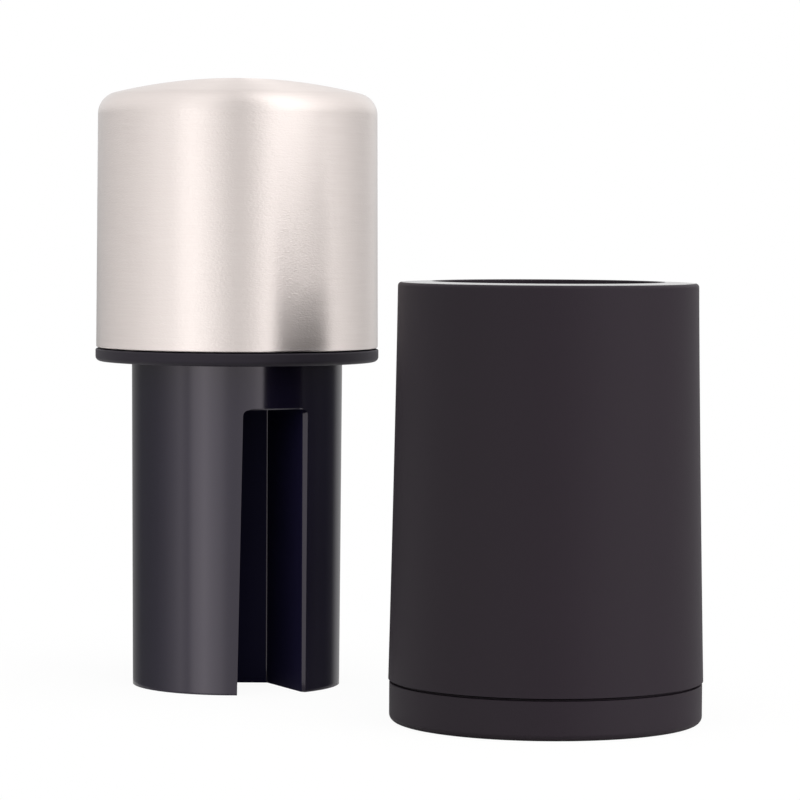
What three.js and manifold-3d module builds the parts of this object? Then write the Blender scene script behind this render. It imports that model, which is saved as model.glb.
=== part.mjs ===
// A twist-top nutmeg mill, taken apart as it stands on a table: the mill body on its base cap,
// and beside it the head, a steel cap on a column that carries the nutmeg past a curved blade.
// Millimetres, +Z up, origin on the table at the mill body's axis.
// Azimuths are degrees from -Y towards +X.
import * as THREE from "three";
import { mergeVertices } from "three/addons/utils/BufferGeometryUtils.js";
import Module from "manifold-3d";

const wasm = await Module();
wasm.setup();

// How finely round forms are cut
const ROUND_STEPS = 40;
const INNER_STEPS = 36;
const SMALL_STEPS = 10;
const POCKET_STEPS = 12;
const EDGE_STEPS = 3;
const FILLET_STEPS = 2;

// Clearances
const SEAT_GAP = 0.3;
const COLUMN_CLEARANCE = 0.48;
const FOOT_CLEARANCE = 0.5;
const NECK_CLEARANCE = 0.3;
const HOLE_CLEARANCE = 0.28;
const SCREW_TO_SPIGOT = 0.76;
const SLEEVE_TO_BODY = 2.86;

// Where the lifted-out head stands beside the mill body
const HEAD_X = -61.5;
const HEAD_Y = 55.5;

// Mill body
const BODY_HEIGHT = 83.66;
const BODY_TOP_RADIUS = 28.6;
const BODY_FLARE = 1.45;
const BODY_FLARE_POWER = 1.2;
const BODY_WALL = 1.94;
const BODY_WALL_STEPS = 3;
const RIM_ROUND = 0.35;
const RIM_INNER_CHAMFER = 0.18;
const DECK_DEPTH = 1.9;
const DECK_THICKNESS = 1.6;
const DECK_CHAMFER = 0.8;
const COLLAR_WALL = 1.2;
const COLLAR_DEPTH = 4.0;

// Base cap that catches the powder
const BASE_INSET = 0.19;
const BASE_HEIGHT = 7.5;
const BASE_EDGE_ROUND = 1.8;
const BASE_FLOOR = 2.2;
const BASE_CORNER_FILLET = 1.5;
const FOOT_GROOVE_INSET = 6.86;
const FOOT_GROOVE_WIDTH = 1.6;
const FOOT_GROOVE_DEPTH = 0.6;
const SPIGOT_HEIGHT = 5.0;
const SPIGOT_WALL = 2.4;
const SPIGOT_LEAD = 0.5;
const SEAM_HEIGHT = 0.5;
const SEAM_DEPTH = 0.9;
const SEAM_SEAT_HEIGHT = 0.2;

// Seal ring on the spigot
const SEAL_SECTION_RADIUS = 0.5;
const SEAL_HEIGHT_ON_SPIGOT = 2.5;
const SEAL_SECTION_STEPS = 6;
const SEAL_GROOVE_GAP = 0.15;

// Bosses inside the body that take the sleeve screws
const BOSS_WIDTH = 5.2;
const BOSS_HEIGHT = 9.5;
const BOSS_AZIMUTHS = [0, 120, 240];

// Sleeve that carries the blade
const SLEEVE_WALL = 1.8;
const SLEEVE_FLOOR = 2.0;
const LUG_WIDTH = 6.0;
const LUG_INSET = 0.35;
const WINDOW_BAR_WIDTH = 2.6;
const WINDOW_PANES_ROUND = 3;
const WINDOW_PANES_HIGH = 3;

// Etched blade: rows of holes, each with one edge raised as a tooth
const BLADE_THICKNESS = 0.35;
const TOOTH_HEIGHT = 0.5;
const TOOTH_ROWS = 10;
const TEETH_PER_ROW = 11;
const TOOTH_PITCH_ANGLE = 11.8;
const BLADE_SIDE_MARGIN_ANGLE = 7;
const BLADE_END_MARGIN = 2.2;
const BLADE_FOOT_ABOVE_FLOOR = 1.4;
const BLADE_ABOVE_POCKET = 1.1;
const HOLE_WIDTH = 2.5;
const HOLE_HEIGHT = 3.3;
const TOOTH_EDGE_LENGTH = 1.9;

// Rivets that hold the blade
const RIVET_RADIUS = 0.55;
const RIVET_HEAD_RADIUS = 1.0;
const RIVET_INNER_HEAD = 0.2;
const RIVET_OUTER_HEAD = 0.4;
const RIVET_HEAD_TAPER = 0.8;
const RIVETS_PER_SIDE = 3;
const RIVET_END_MARGIN = 3.2;

// Column of the head
const COLUMN_DRAFT = 0.32;
const COLUMN_FOOT_CHAMFER = 0.3;
const COLUMN_SHOULDER = 0.92;
const SHELL_WALL = 1.5;
const COLUMN_FLOOR = 1.6;

// Pocket and slot of the column, in the column's own plan
const POCKET_BELOW_SHOULDER = 8.7;
const POCKET_CEILING = 2.0;
const POCKET_BACK_Y = -0.4;
const POCKET_CORNER_X = 6.25;
const POCKET_LEFT_AZIMUTH = -80;
const PUSHER_END_INSET = 1.26;
const PUSHER_END_AZIMUTH = 42.66;
const PANEL_THICKNESS = 1.5;
const SLOT_LIP_AZIMUTH_TOP = 5.74;
const SLOT_LIP_AZIMUTH_BOTTOM = 3.0;
const SLOT_EDGE_TURN = 26;
const SLOT_CORNER_ROUND = 1.2;
const SLOT_CORNER_STEPS = 4;

// Ring between the head and the rim, on which the head turns
const RING_LIP = 0.15;
const RING_THICKNESS = 2.55;
const RING_TOP_CHAMFER = 0.3;
const RING_BOTTOM_ROUND = 1.0;
const RING_CORING_DEPTH = 1.0;
const RING_CORING_WIDTH = 3.0;

// Drawn steel cap
const CAP_OVERHANG = 0.2;
const CAP_DRAFT = 0.3;
const CAP_HEIGHT = 54.95;
const CAP_SHADOW_GAP = 0.25;
const CAP_SHEET = 0.8;
const CAP_CORNER_ROUND = 4.5;
const CAP_DOME_RADIUS = 105;
const CAP_CORNER_STEPS = 4;
const CAP_DOME_STEPS = 3;

// Moulded core bonded into the cap
const CORE_FLOOR = 2.25;
const CORE_WALL = 1.7;
const CORE_BELOW_CAP_TOP = 8.9;
const CORE_VENT_RADIUS = 7.0;
const CORE_RIBS = 6;
const CORE_RIB_DEPTH = 3.2;
const CORE_RIB_THICKNESS = 1.4;
const CORE_RIB_BELOW_EDGE = 5.75;

// Screws that hold the core to the column
const HEAD_SCREW_AZIMUTHS = [75, 195, 315];
const HEAD_SCREW = { shank: 1.0, headRadius: 2.4, headHeight: 1.6, length: 9.5 };
const COLUMN_BOSS_RADIUS = 2.7;
const COLUMN_BOSS_IN_WALL = 0.4;

// Screws that hold the sleeve in the body
const SLEEVE_SCREW_IN_BOSS = 1.8;
const SLEEVE_SCREW = { shank: 0.9, headRadius: 1.7, headHeight: 1.4, length: 8.6 };
const PILOT_END_GAP = 0.6;

// Form of every screw, as shares of its own sizes, and its cross recess
const SCREW_TIP_SHARE = 0.6;
const SCREW_HEAD_SIDE_SHARE = 0.45;
const SCREW_HEAD_TOP_SHARE = 0.72;
const SCREW_RECESS_LENGTH_SHARE = 1.1;
const SCREW_RECESS_WIDTH = 0.6;
const SCREW_RECESS_DEPTH = 0.7;

// How far cutting forms reach past the face that they cut
const PAST_FACE = 2;

// Sizes that follow: the body and its base cap
const BODY_FOOT = BASE_HEIGHT + SEAM_HEIGHT;
const BODY_BOTTOM_RADIUS = BODY_TOP_RADIUS + BODY_FLARE;
const RIM_BORE_RADIUS = BODY_TOP_RADIUS - BODY_WALL;
const DECK_TOP = BODY_HEIGHT - DECK_DEPTH;
const DECK_UNDERSIDE = DECK_TOP - DECK_THICKNESS;
const BASE_RADIUS = BODY_BOTTOM_RADIUS - BASE_INSET;
const FOOT_GROOVE_RADIUS = BASE_RADIUS - FOOT_GROOVE_INSET;
const SPIGOT_RADIUS = BODY_BOTTOM_RADIUS - BODY_WALL - SEAT_GAP;
const SPIGOT_TOP = BASE_HEIGHT + SPIGOT_HEIGHT;
const CUP_RADIUS = SPIGOT_RADIUS - SPIGOT_WALL;
const SEAL_RADIUS = SPIGOT_RADIUS - SEAL_SECTION_RADIUS;
const SEAL_Z = BASE_HEIGHT + SEAL_HEIGHT_ON_SPIGOT;

// Sizes that follow: the sleeve in the body
const SLEEVE_RADIUS = RIM_BORE_RADIUS - SLEEVE_TO_BODY;
const SLEEVE_BOTTOM = SPIGOT_TOP + SCREW_TO_SPIGOT + SLEEVE_SCREW.headHeight + SEAT_GAP;
const SLEEVE_FLOOR_TOP = SLEEVE_BOTTOM + SLEEVE_FLOOR;
const SLEEVE_TOP = DECK_UNDERSIDE - SEAT_GAP;
const BORE_RADIUS = SLEEVE_RADIUS - SLEEVE_WALL;
const BOSS_INNER_RADIUS = SLEEVE_RADIUS + SEAT_GAP;
const BOSS_BOTTOM = SLEEVE_FLOOR_TOP + SEAT_GAP;
const SLEEVE_SCREW_CIRCLE = BOSS_INNER_RADIUS + SLEEVE_SCREW_IN_BOSS;

// Sizes that follow: the column, from the bore and floor that it fits when the mill is closed
const COLUMN_TOP_RADIUS = BORE_RADIUS - COLUMN_CLEARANCE;
const COLUMN_BOTTOM_RADIUS = COLUMN_TOP_RADIUS - COLUMN_DRAFT;
const SEATED_COLUMN_FOOT = SLEEVE_FLOOR_TOP + FOOT_CLEARANCE;
const RING_BOTTOM = BODY_HEIGHT - SEATED_COLUMN_FOOT;
const RING_TOP = RING_BOTTOM + RING_THICKNESS;
const COLUMN_HEIGHT = RING_BOTTOM - SEAT_GAP;
const NECK_RADIUS = COLUMN_TOP_RADIUS - COLUMN_SHOULDER;
const NECK_TOP = RING_TOP;
const VOID_RADIUS = NECK_RADIUS - SHELL_WALL;
const POCKET_HEIGHT = COLUMN_HEIGHT - POCKET_BELOW_SHOULDER;
const POCKET_CORNER = [POCKET_CORNER_X, POCKET_BACK_Y];
const PUSHER_END = planPoint(COLUMN_TOP_RADIUS - PUSHER_END_INSET, PUSHER_END_AZIMUTH);
const PUSHER_LENGTH = Math.hypot(PUSHER_END[0] - POCKET_CORNER[0], PUSHER_END[1] - POCKET_CORNER[1]);
const PUSHER_DIRECTION = [
  (PUSHER_END[0] - POCKET_CORNER[0]) / PUSHER_LENGTH,
  (PUSHER_END[1] - POCKET_CORNER[1]) / PUSHER_LENGTH,
];

// Sizes that follow: ring, cap and core
const CAP_MOUTH_RADIUS = BODY_TOP_RADIUS + CAP_OVERHANG;
const CAP_SHOULDER_RADIUS = CAP_MOUTH_RADIUS - CAP_DRAFT;
const CAP_BOTTOM = RING_TOP + CAP_SHADOW_GAP;
const CAP_TOP = CAP_BOTTOM + CAP_HEIGHT;
const RING_RADIUS = CAP_MOUTH_RADIUS + RING_LIP;
const RING_BORE_RADIUS = NECK_RADIUS + NECK_CLEARANCE;
const CORE_BOTTOM = RING_TOP + SEAT_GAP;
const CORE_FLOOR_TOP = CORE_BOTTOM + CORE_FLOOR;
const CORE_TOP = CAP_TOP - CORE_BELOW_CAP_TOP;
const HEAD_SCREW_CIRCLE = VOID_RADIUS + COLUMN_BOSS_IN_WALL - COLUMN_BOSS_RADIUS;
const HEAD_SCREW_SEAT = CORE_FLOOR_TOP + SEAT_GAP;

// Sizes that follow: the blade, as high as the pocket that passes it
const BLADE_INNER_RADIUS = BORE_RADIUS + SEAT_GAP;
const BLADE_OUTER_RADIUS = BLADE_INNER_RADIUS + BLADE_THICKNESS;
const REBATE_RADIUS = BLADE_OUTER_RADIUS + SEAT_GAP;
const BLADE_BOTTOM = SLEEVE_FLOOR_TOP + BLADE_FOOT_ABOVE_FLOOR;
const BLADE_TOP = SEATED_COLUMN_FOOT + POCKET_HEIGHT + BLADE_ABOVE_POCKET;
const TOOTH_FIELD_BOTTOM = BLADE_BOTTOM + BLADE_END_MARGIN;
const TOOTH_FIELD_HEIGHT = BLADE_TOP - BLADE_END_MARGIN - TOOTH_FIELD_BOTTOM;
const ROW_PITCH = TOOTH_FIELD_HEIGHT / TOOTH_ROWS;
const TOOTH_FIELD_ANGLE = TEETH_PER_ROW * TOOTH_PITCH_ANGLE;
const BLADE_ANGLE = TOOTH_FIELD_ANGLE + 2 * BLADE_SIDE_MARGIN_ANGLE;
const RIVET_AZIMUTH = (TOOTH_FIELD_ANGLE + BLADE_SIDE_MARGIN_ANGLE) / 2;

// Angles
function radians(degrees) {
  return (degrees * Math.PI) / 180;
}

// The angle, in degrees, that a length takes up along a circle
function angleAlong(length, radius) {
  return (length / radius) * (180 / Math.PI);
}

// A point of the plan at a radius and an azimuth
function planPoint(radius, azimuth) {
  return [radius * Math.sin(radians(azimuth)), -radius * Math.cos(radians(azimuth))];
}

// Points of an arc, both ends included; angles run from the first axis to the second
function arc(centre, radius, fromAngle, toAngle, steps) {
  const points = [];
  for (let i = 0; i <= steps; i += 1) {
    const angle = radians(fromAngle + ((toAngle - fromAngle) * i) / steps);
    points.push([centre[0] + radius * Math.cos(angle), centre[1] + radius * Math.sin(angle)]);
  }
  return points;
}

// Turns a profile of [radius, height] points about the Z axis
function revolve(profile, steps = ROUND_STEPS) {
  const points = profile.map(([radius, height]) => new THREE.Vector2(radius, height));
  return new THREE.LatheGeometry(points, steps).rotateX(Math.PI / 2);
}

// The same for a ring, whose profile closes on itself
function revolveRing(profile, steps = ROUND_STEPS) {
  return revolve([...profile, profile[0]], steps);
}

// A closed form through plan outlines at rising heights, all with the same number of points
function loft(levels) {
  const count = levels[0].outline.length;
  const positions = [];
  for (const { outline, height } of levels) {
    for (const [x, y] of outline) positions.push(x, y, height);
  }
  const faces = [];
  for (let level = 0; level < levels.length - 1; level += 1) {
    for (let i = 0; i < count; i += 1) {
      const a = level * count + i;
      const b = level * count + ((i + 1) % count);
      faces.push(a, b, b + count, a, b + count, a + count);
    }
  }
  const trianglesOf = ({ outline }) =>
    THREE.ShapeUtils.triangulateShape(outline.map(([x, y]) => new THREE.Vector2(x, y)), []);
  for (const [a, b, c] of trianglesOf(levels[0])) faces.push(c, b, a);
  const top = (levels.length - 1) * count;
  for (const [a, b, c] of trianglesOf(levels[levels.length - 1])) {
    faces.push(top + a, top + b, top + c);
  }
  const geometry = new THREE.BufferGeometry();
  geometry.setAttribute("position", new THREE.Float32BufferAttribute(positions, 3));
  geometry.setIndex(faces);
  return geometry;
}

// A block of a ring: between two radii, two azimuths and two heights
function ringBlock(innerRadius, outerRadius, fromAzimuth, toAzimuth, bottom, top, steps) {
  const outline = [];
  for (let i = 0; i <= steps; i += 1) {
    outline.push(planPoint(outerRadius, fromAzimuth + ((toAzimuth - fromAzimuth) * i) / steps));
  }
  for (let i = steps; i >= 0; i -= 1) {
    outline.push(planPoint(innerRadius, fromAzimuth + ((toAzimuth - fromAzimuth) * i) / steps));
  }
  return loft([
    { outline, height: bottom },
    { outline, height: top },
  ]);
}

// An upright cylinder at a radius and an azimuth
function post(radius, bottom, top, circle, azimuth, steps = SMALL_STEPS) {
  const [x, y] = planPoint(circle, azimuth);
  const geometry = new THREE.CylinderGeometry(radius, radius, top - bottom, steps).rotateX(Math.PI / 2);
  return geometry.translate(x, y, (bottom + top) / 2);
}

// A box that reaches outwards between two radii at an azimuth
function spoke(innerRadius, outerRadius, width, bottom, top, azimuth) {
  const geometry = new THREE.BoxGeometry(width, outerRadius - innerRadius, top - bottom);
  geometry.translate(0, -(innerRadius + outerRadius) / 2, (bottom + top) / 2);
  return geometry.rotateZ(radians(azimuth));
}

// Joining and cutting
function solidOf(geometry) {
  const bare = geometry.clone();
  bare.deleteAttribute("normal");
  bare.deleteAttribute("uv");
  const merged = mergeVertices(bare, 1e-4);
  return new wasm.Manifold(
    new wasm.Mesh({
      numProp: 3,
      vertProperties: new Float32Array(merged.attributes.position.array),
      triVerts: new Uint32Array(merged.index.array),
    }),
  );
}

function geometryOf(solid) {
  const mesh = solid.getMesh();
  const geometry = new THREE.BufferGeometry();
  geometry.setAttribute("position", new THREE.BufferAttribute(new Float32Array(mesh.vertProperties), 3));
  geometry.setIndex(new THREE.BufferAttribute(new Uint32Array(mesh.triVerts), 1));
  return geometry;
}

// One form with others joined on and then others cut away
function shaped(form, { join = [], cut = [] }) {
  let solid = solidOf(form);
  for (const piece of join) solid = solid.add(solidOf(piece));
  for (const piece of cut) solid = solid.subtract(solidOf(piece));
  return geometryOf(solid);
}

// Outside radius of the body: a slight flare towards the foot
function bodyRadius(height) {
  const down = (BODY_HEIGHT - height) / (BODY_HEIGHT - BODY_FOOT);
  return BODY_TOP_RADIUS + (BODY_BOTTOM_RADIUS - BODY_TOP_RADIUS) * down ** BODY_FLARE_POWER;
}

// Base cap: a shallow cup with a spigot that pushes up into the body
function baseCap() {
  const sealGrooveRadius = SEAL_RADIUS - SEAL_SECTION_RADIUS - SEAL_GROOVE_GAP;
  const sealGrooveHalf = SEAL_SECTION_RADIUS + SEAT_GAP;
  const seamRadius = BASE_RADIUS - SEAM_DEPTH;
  const grooveInner = FOOT_GROOVE_RADIUS - FOOT_GROOVE_WIDTH / 2;
  const grooveOuter = FOOT_GROOVE_RADIUS + FOOT_GROOVE_WIDTH / 2;
  const edgeCentre = [BASE_RADIUS - BASE_EDGE_ROUND, BASE_EDGE_ROUND];
  const filletCentre = [CUP_RADIUS - BASE_CORNER_FILLET, BASE_FLOOR + BASE_CORNER_FILLET];
  return revolve([
    [0, 0],
    [grooveInner, 0],
    [grooveInner, FOOT_GROOVE_DEPTH],
    [grooveOuter, FOOT_GROOVE_DEPTH],
    [grooveOuter, 0],
    ...arc(edgeCentre, BASE_EDGE_ROUND, -90, 0, EDGE_STEPS),
    [BASE_RADIUS, BASE_HEIGHT],
    [seamRadius, BASE_HEIGHT],
    [seamRadius, BASE_HEIGHT + SEAM_SEAT_HEIGHT],
    [SPIGOT_RADIUS, BASE_HEIGHT + SEAM_SEAT_HEIGHT],
    [SPIGOT_RADIUS, SEAL_Z - sealGrooveHalf],
    [sealGrooveRadius, SEAL_Z - sealGrooveHalf],
    [sealGrooveRadius, SEAL_Z + sealGrooveHalf],
    [SPIGOT_RADIUS, SEAL_Z + sealGrooveHalf],
    [SPIGOT_RADIUS, SPIGOT_TOP - SPIGOT_LEAD],
    [SPIGOT_RADIUS - SPIGOT_LEAD, SPIGOT_TOP],
    [CUP_RADIUS, SPIGOT_TOP],
    ...arc(filletCentre, BASE_CORNER_FILLET, 0, -90, FILLET_STEPS),
    [0, BASE_FLOOR],
  ]);
}

// Seal ring: a round section that grips the body's foot
function sealRing() {
  const section = arc([SEAL_RADIUS, SEAL_Z], SEAL_SECTION_RADIUS, 0, 360, SEAL_SECTION_STEPS);
  return revolveRing(section.slice(0, -1), INNER_STEPS);
}

// Body: a flared shell with a deck under its rim, a collar for the sleeve and three screw bosses
function outerBody() {
  const wallHeights = [];
  for (let i = 0; i <= BODY_WALL_STEPS; i += 1) {
    wallHeights.push(BODY_FOOT + ((BODY_HEIGHT - RIM_ROUND - BODY_FOOT) * i) / BODY_WALL_STEPS);
  }
  const outside = wallHeights.map((height) => [bodyRadius(height), height]);
  const insideHeights = wallHeights.filter((height) => height < DECK_UNDERSIDE).reverse();
  const inside = insideHeights.map((height) => [bodyRadius(height) - BODY_WALL, height]);
  const collarInner = SLEEVE_RADIUS + SEAT_GAP;
  const collarOuter = collarInner + COLLAR_WALL;
  const shell = revolveRing([
    ...outside,
    [BODY_TOP_RADIUS - RIM_ROUND, BODY_HEIGHT],
    [RIM_BORE_RADIUS + RIM_INNER_CHAMFER, BODY_HEIGHT],
    [RIM_BORE_RADIUS, BODY_HEIGHT - RIM_INNER_CHAMFER],
    [RIM_BORE_RADIUS, DECK_TOP],
    [BORE_RADIUS + DECK_CHAMFER, DECK_TOP],
    [BORE_RADIUS, DECK_TOP - DECK_CHAMFER],
    [BORE_RADIUS, DECK_UNDERSIDE],
    [collarInner, DECK_UNDERSIDE],
    [collarInner, DECK_UNDERSIDE - COLLAR_DEPTH],
    [collarOuter, DECK_UNDERSIDE - COLLAR_DEPTH],
    [collarOuter, DECK_UNDERSIDE],
    [bodyRadius(DECK_UNDERSIDE) - BODY_WALL, DECK_UNDERSIDE],
    ...inside,
  ]);
  const bossOuter = bodyRadius(BOSS_BOTTOM + BOSS_HEIGHT) - BODY_WALL / 2;
  const pilotRadius = SLEEVE_SCREW.shank + HOLE_CLEARANCE;
  const pilotTop = SLEEVE_BOTTOM - SEAT_GAP + SLEEVE_SCREW.length + PILOT_END_GAP;
  return shaped(shell, {
    join: BOSS_AZIMUTHS.map((azimuth) =>
      spoke(BOSS_INNER_RADIUS, bossOuter, BOSS_WIDTH, BOSS_BOTTOM, BOSS_BOTTOM + BOSS_HEIGHT, azimuth),
    ),
    cut: BOSS_AZIMUTHS.map((azimuth) =>
      post(pilotRadius, BOSS_BOTTOM - PAST_FACE, pilotTop, SLEEVE_SCREW_CIRCLE, azimuth),
    ),
  });
}

// Azimuths and heights at which the blade's rivets sit
function rivetPlaces() {
  const places = [];
  const lowest = BLADE_BOTTOM + RIVET_END_MARGIN;
  const highest = BLADE_TOP - RIVET_END_MARGIN;
  for (const side of [-1, 1]) {
    for (let i = 0; i < RIVETS_PER_SIDE; i += 1) {
      const height = lowest + ((highest - lowest) * i) / (RIVETS_PER_SIDE - 1);
      places.push({ azimuth: side * RIVET_AZIMUTH, height });
    }
  }
  return places;
}

// Moves a form that was made along Z to point outwards at a rivet's place
function pointedOutwards(geometry, { azimuth, height }) {
  return geometry.rotateX(Math.PI / 2).rotateZ(radians(azimuth)).translate(0, 0, height);
}

function rivetHole(place) {
  const radius = RIVET_RADIUS + SEAT_GAP;
  const reach = SLEEVE_WALL + 2 * PAST_FACE;
  const hole = new THREE.CylinderGeometry(radius, radius, reach, SMALL_STEPS).rotateX(Math.PI / 2);
  return pointedOutwards(hole.translate(0, 0, BORE_RADIUS + SLEEVE_WALL / 2), place);
}

// Sleeve: a cup with a barred window behind the blade, a recess that the blade lies in, and screw lugs
function bladeSleeve() {
  const cup = revolve(
    [
      [0, SLEEVE_BOTTOM],
      [SLEEVE_RADIUS, SLEEVE_BOTTOM],
      [SLEEVE_RADIUS, SLEEVE_TOP],
      [BORE_RADIUS, SLEEVE_TOP],
      [BORE_RADIUS, SLEEVE_FLOOR_TOP],
      [0, SLEEVE_FLOOR_TOP],
    ],
    INNER_STEPS,
  );
  const lugEnd = bodyRadius(SLEEVE_FLOOR_TOP) - BODY_WALL - LUG_INSET;
  const lugs = BOSS_AZIMUTHS.map((azimuth) =>
    spoke(BORE_RADIUS, lugEnd, LUG_WIDTH, SLEEVE_BOTTOM, SLEEVE_FLOOR_TOP, azimuth),
  );
  const lugHoles = BOSS_AZIMUTHS.map((azimuth) =>
    post(
      SLEEVE_SCREW.shank + HOLE_CLEARANCE,
      SLEEVE_BOTTOM - PAST_FACE,
      SLEEVE_FLOOR_TOP + PAST_FACE,
      SLEEVE_SCREW_CIRCLE,
      azimuth,
    ),
  );
  const sideGap = angleAlong(SEAT_GAP, BORE_RADIUS);
  const rebate = ringBlock(
    BORE_RADIUS - PAST_FACE,
    REBATE_RADIUS,
    -BLADE_ANGLE / 2 - sideGap,
    BLADE_ANGLE / 2 + sideGap,
    BLADE_BOTTOM - SEAT_GAP,
    BLADE_TOP + SEAT_GAP,
    INNER_STEPS / 2,
  );
  const barAngle = angleAlong(WINDOW_BAR_WIDTH, SLEEVE_RADIUS);
  const paneAngle = (TOOTH_FIELD_ANGLE - (WINDOW_PANES_ROUND - 1) * barAngle) / WINDOW_PANES_ROUND;
  const paneHeight =
    (TOOTH_FIELD_HEIGHT - (WINDOW_PANES_HIGH - 1) * WINDOW_BAR_WIDTH) / WINDOW_PANES_HIGH;
  const panes = [];
  for (let column = 0; column < WINDOW_PANES_ROUND; column += 1) {
    for (let row = 0; row < WINDOW_PANES_HIGH; row += 1) {
      const from = -TOOTH_FIELD_ANGLE / 2 + column * (paneAngle + barAngle);
      const bottom = TOOTH_FIELD_BOTTOM + row * (paneHeight + WINDOW_BAR_WIDTH);
      panes.push(
        ringBlock(
          BORE_RADIUS - PAST_FACE,
          SLEEVE_RADIUS + PAST_FACE,
          from,
          from + paneAngle,
          bottom,
          bottom + paneHeight,
          SMALL_STEPS / 2,
        ),
      );
    }
  }
  return shaped(cup, {
    join: lugs,
    cut: [...lugHoles, rebate, ...panes, ...rivetPlaces().map(rivetHole)],
  });
}

// The blade as one bent sheet: a grid of tiles, each with a hole whose downstream edge stands up.
// The nutmeg is swept clockwise, seen from above, so a tooth stands on the clockwise side of its hole.
function graterBlade() {
  const points = [];
  const faces = [];
  const known = new Map();
  const addPoint = (azimuth, height, raise) => points.push({ azimuth, height, raise }) - 1;
  const halfPitch = TOOTH_PITCH_ANGLE / 2;
  const halfSteps = 2 * TEETH_PER_ROW;

  // Grid lines: a margin line at each side and end, and the tile corners between them
  function corner(column, row) {
    const key = `${column},${row}`;
    if (known.has(key)) return known.get(key);
    let azimuth = -TOOTH_FIELD_ANGLE / 2 + column * halfPitch;
    if (column < 0) azimuth = -BLADE_ANGLE / 2;
    if (column > halfSteps) azimuth = BLADE_ANGLE / 2;
    let height = TOOTH_FIELD_BOTTOM + row * ROW_PITCH;
    if (row < 0) height = BLADE_BOTTOM;
    if (row > TOOTH_ROWS) height = BLADE_TOP;
    known.set(key, addPoint(azimuth, height, 0));
    return known.get(key);
  }

  function plainTile(column, row) {
    const [a, b] = [corner(column, row), corner(column + 1, row)];
    const [c, d] = [corner(column + 1, row + 1), corner(column, row + 1)];
    faces.push([a, b, c], [a, c, d]);
  }

  function toothTile(column, row) {
    const rim = [
      corner(column, row),
      corner(column + 1, row),
      corner(column + 2, row),
      corner(column + 2, row + 1),
      corner(column + 1, row + 1),
      corner(column, row + 1),
    ];
    const azimuth = -TOOTH_FIELD_ANGLE / 2 + (column + 1) * halfPitch;
    const height = TOOTH_FIELD_BOTTOM + (row + 0.5) * ROW_PITCH;
    const halfAngle = angleAlong(HOLE_WIDTH / 2, BLADE_INNER_RADIUS);
    const edge = TOOTH_EDGE_LENGTH / 2;
    const hole = [
      addPoint(azimuth - halfAngle, height - edge, TOOTH_HEIGHT),
      addPoint(azimuth, height - HOLE_HEIGHT / 2, 0),
      addPoint(azimuth + halfAngle, height - edge, 0),
      addPoint(azimuth + halfAngle, height + edge, 0),
      addPoint(azimuth, height + HOLE_HEIGHT / 2, 0),
      addPoint(azimuth - halfAngle, height + edge, TOOTH_HEIGHT),
    ];
    for (let i = 0; i < rim.length; i += 1) {
      const next = (i + 1) % rim.length;
      faces.push([rim[i], rim[next], hole[next]], [rim[i], hole[next], hole[i]]);
    }
  }

  for (let row = -1; row <= TOOTH_ROWS; row += 1) {
    plainTile(-1, row);
    plainTile(halfSteps, row);
    if (row < 0 || row === TOOTH_ROWS) {
      for (let column = 0; column < halfSteps; column += 1) plainTile(column, row);
      continue;
    }
    const shift = row % 2;
    for (let column = shift; column + 2 <= halfSteps; column += 2) toothTile(column, row);
    if (shift === 1) {
      plainTile(0, row);
      plainTile(halfSteps - 1, row);
    }
  }
  const sheet = thickened(points, faces);
  return shaped(sheet, { cut: rivetPlaces().map(rivetHole) });
}

// Gives a grid of blade points its thickness and closes it along every open edge
function thickened(points, faces) {
  const positions = [];
  for (const depth of [0, BLADE_THICKNESS]) {
    for (const { azimuth, height, raise } of points) {
      positions.push(...planPoint(BLADE_INNER_RADIUS + depth - raise, azimuth), height);
    }
  }
  const outer = points.length;
  const index = [];
  const edges = new Set();
  for (const [a, b, c] of faces) {
    index.push(c, b, a, outer + a, outer + b, outer + c);
    edges.add(`${a},${b}`).add(`${b},${c}`).add(`${c},${a}`);
  }
  for (const edge of edges) {
    const [a, b] = edge.split(",").map(Number);
    if (!edges.has(`${b},${a}`)) index.push(a, b, outer + b, a, outer + b, outer + a);
  }
  const geometry = new THREE.BufferGeometry();
  geometry.setAttribute("position", new THREE.Float32BufferAttribute(positions, 3));
  geometry.setIndex(index);
  return geometry;
}

// Rivet: a flat head in the bore, a shank through blade and sleeve, and a head outside
function bladeRivet(place) {
  const innerFace = BLADE_INNER_RADIUS - SEAT_GAP;
  const outerFace = SLEEVE_RADIUS + SEAT_GAP;
  const profile = [
    [0, innerFace - RIVET_INNER_HEAD],
    [RIVET_HEAD_RADIUS, innerFace - RIVET_INNER_HEAD],
    [RIVET_HEAD_RADIUS, innerFace],
    [RIVET_RADIUS, innerFace],
    [RIVET_RADIUS, outerFace],
    [RIVET_HEAD_RADIUS, outerFace],
    [RIVET_HEAD_RADIUS * RIVET_HEAD_TAPER, outerFace + RIVET_OUTER_HEAD],
    [0, outerFace + RIVET_OUTER_HEAD],
  ];
  return pointedOutwards(revolve(profile, SMALL_STEPS), place);
}

// Pan-head screw, head up, with the underside of its head at height 0
function screw({ shank, headRadius, headHeight, length }) {
  const form = revolve(
    [
      [0, -length],
      [shank * SCREW_TIP_SHARE, -length],
      [shank, -length + shank],
      [shank, 0],
      [headRadius, 0],
      [headRadius, headHeight * SCREW_HEAD_SIDE_SHARE],
      [headRadius * SCREW_HEAD_TOP_SHARE, headHeight],
      [0, headHeight],
    ],
    SMALL_STEPS,
  );
  const armLength = headRadius * SCREW_RECESS_LENGTH_SHARE;
  const armHeight = SCREW_RECESS_DEPTH + PAST_FACE;
  const arm = new THREE.BoxGeometry(armLength, SCREW_RECESS_WIDTH, armHeight);
  arm.translate(0, 0, headHeight - SCREW_RECESS_DEPTH + armHeight / 2);
  return shaped(form, { cut: [arm, arm.clone().rotateZ(Math.PI / 2)] });
}

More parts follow.
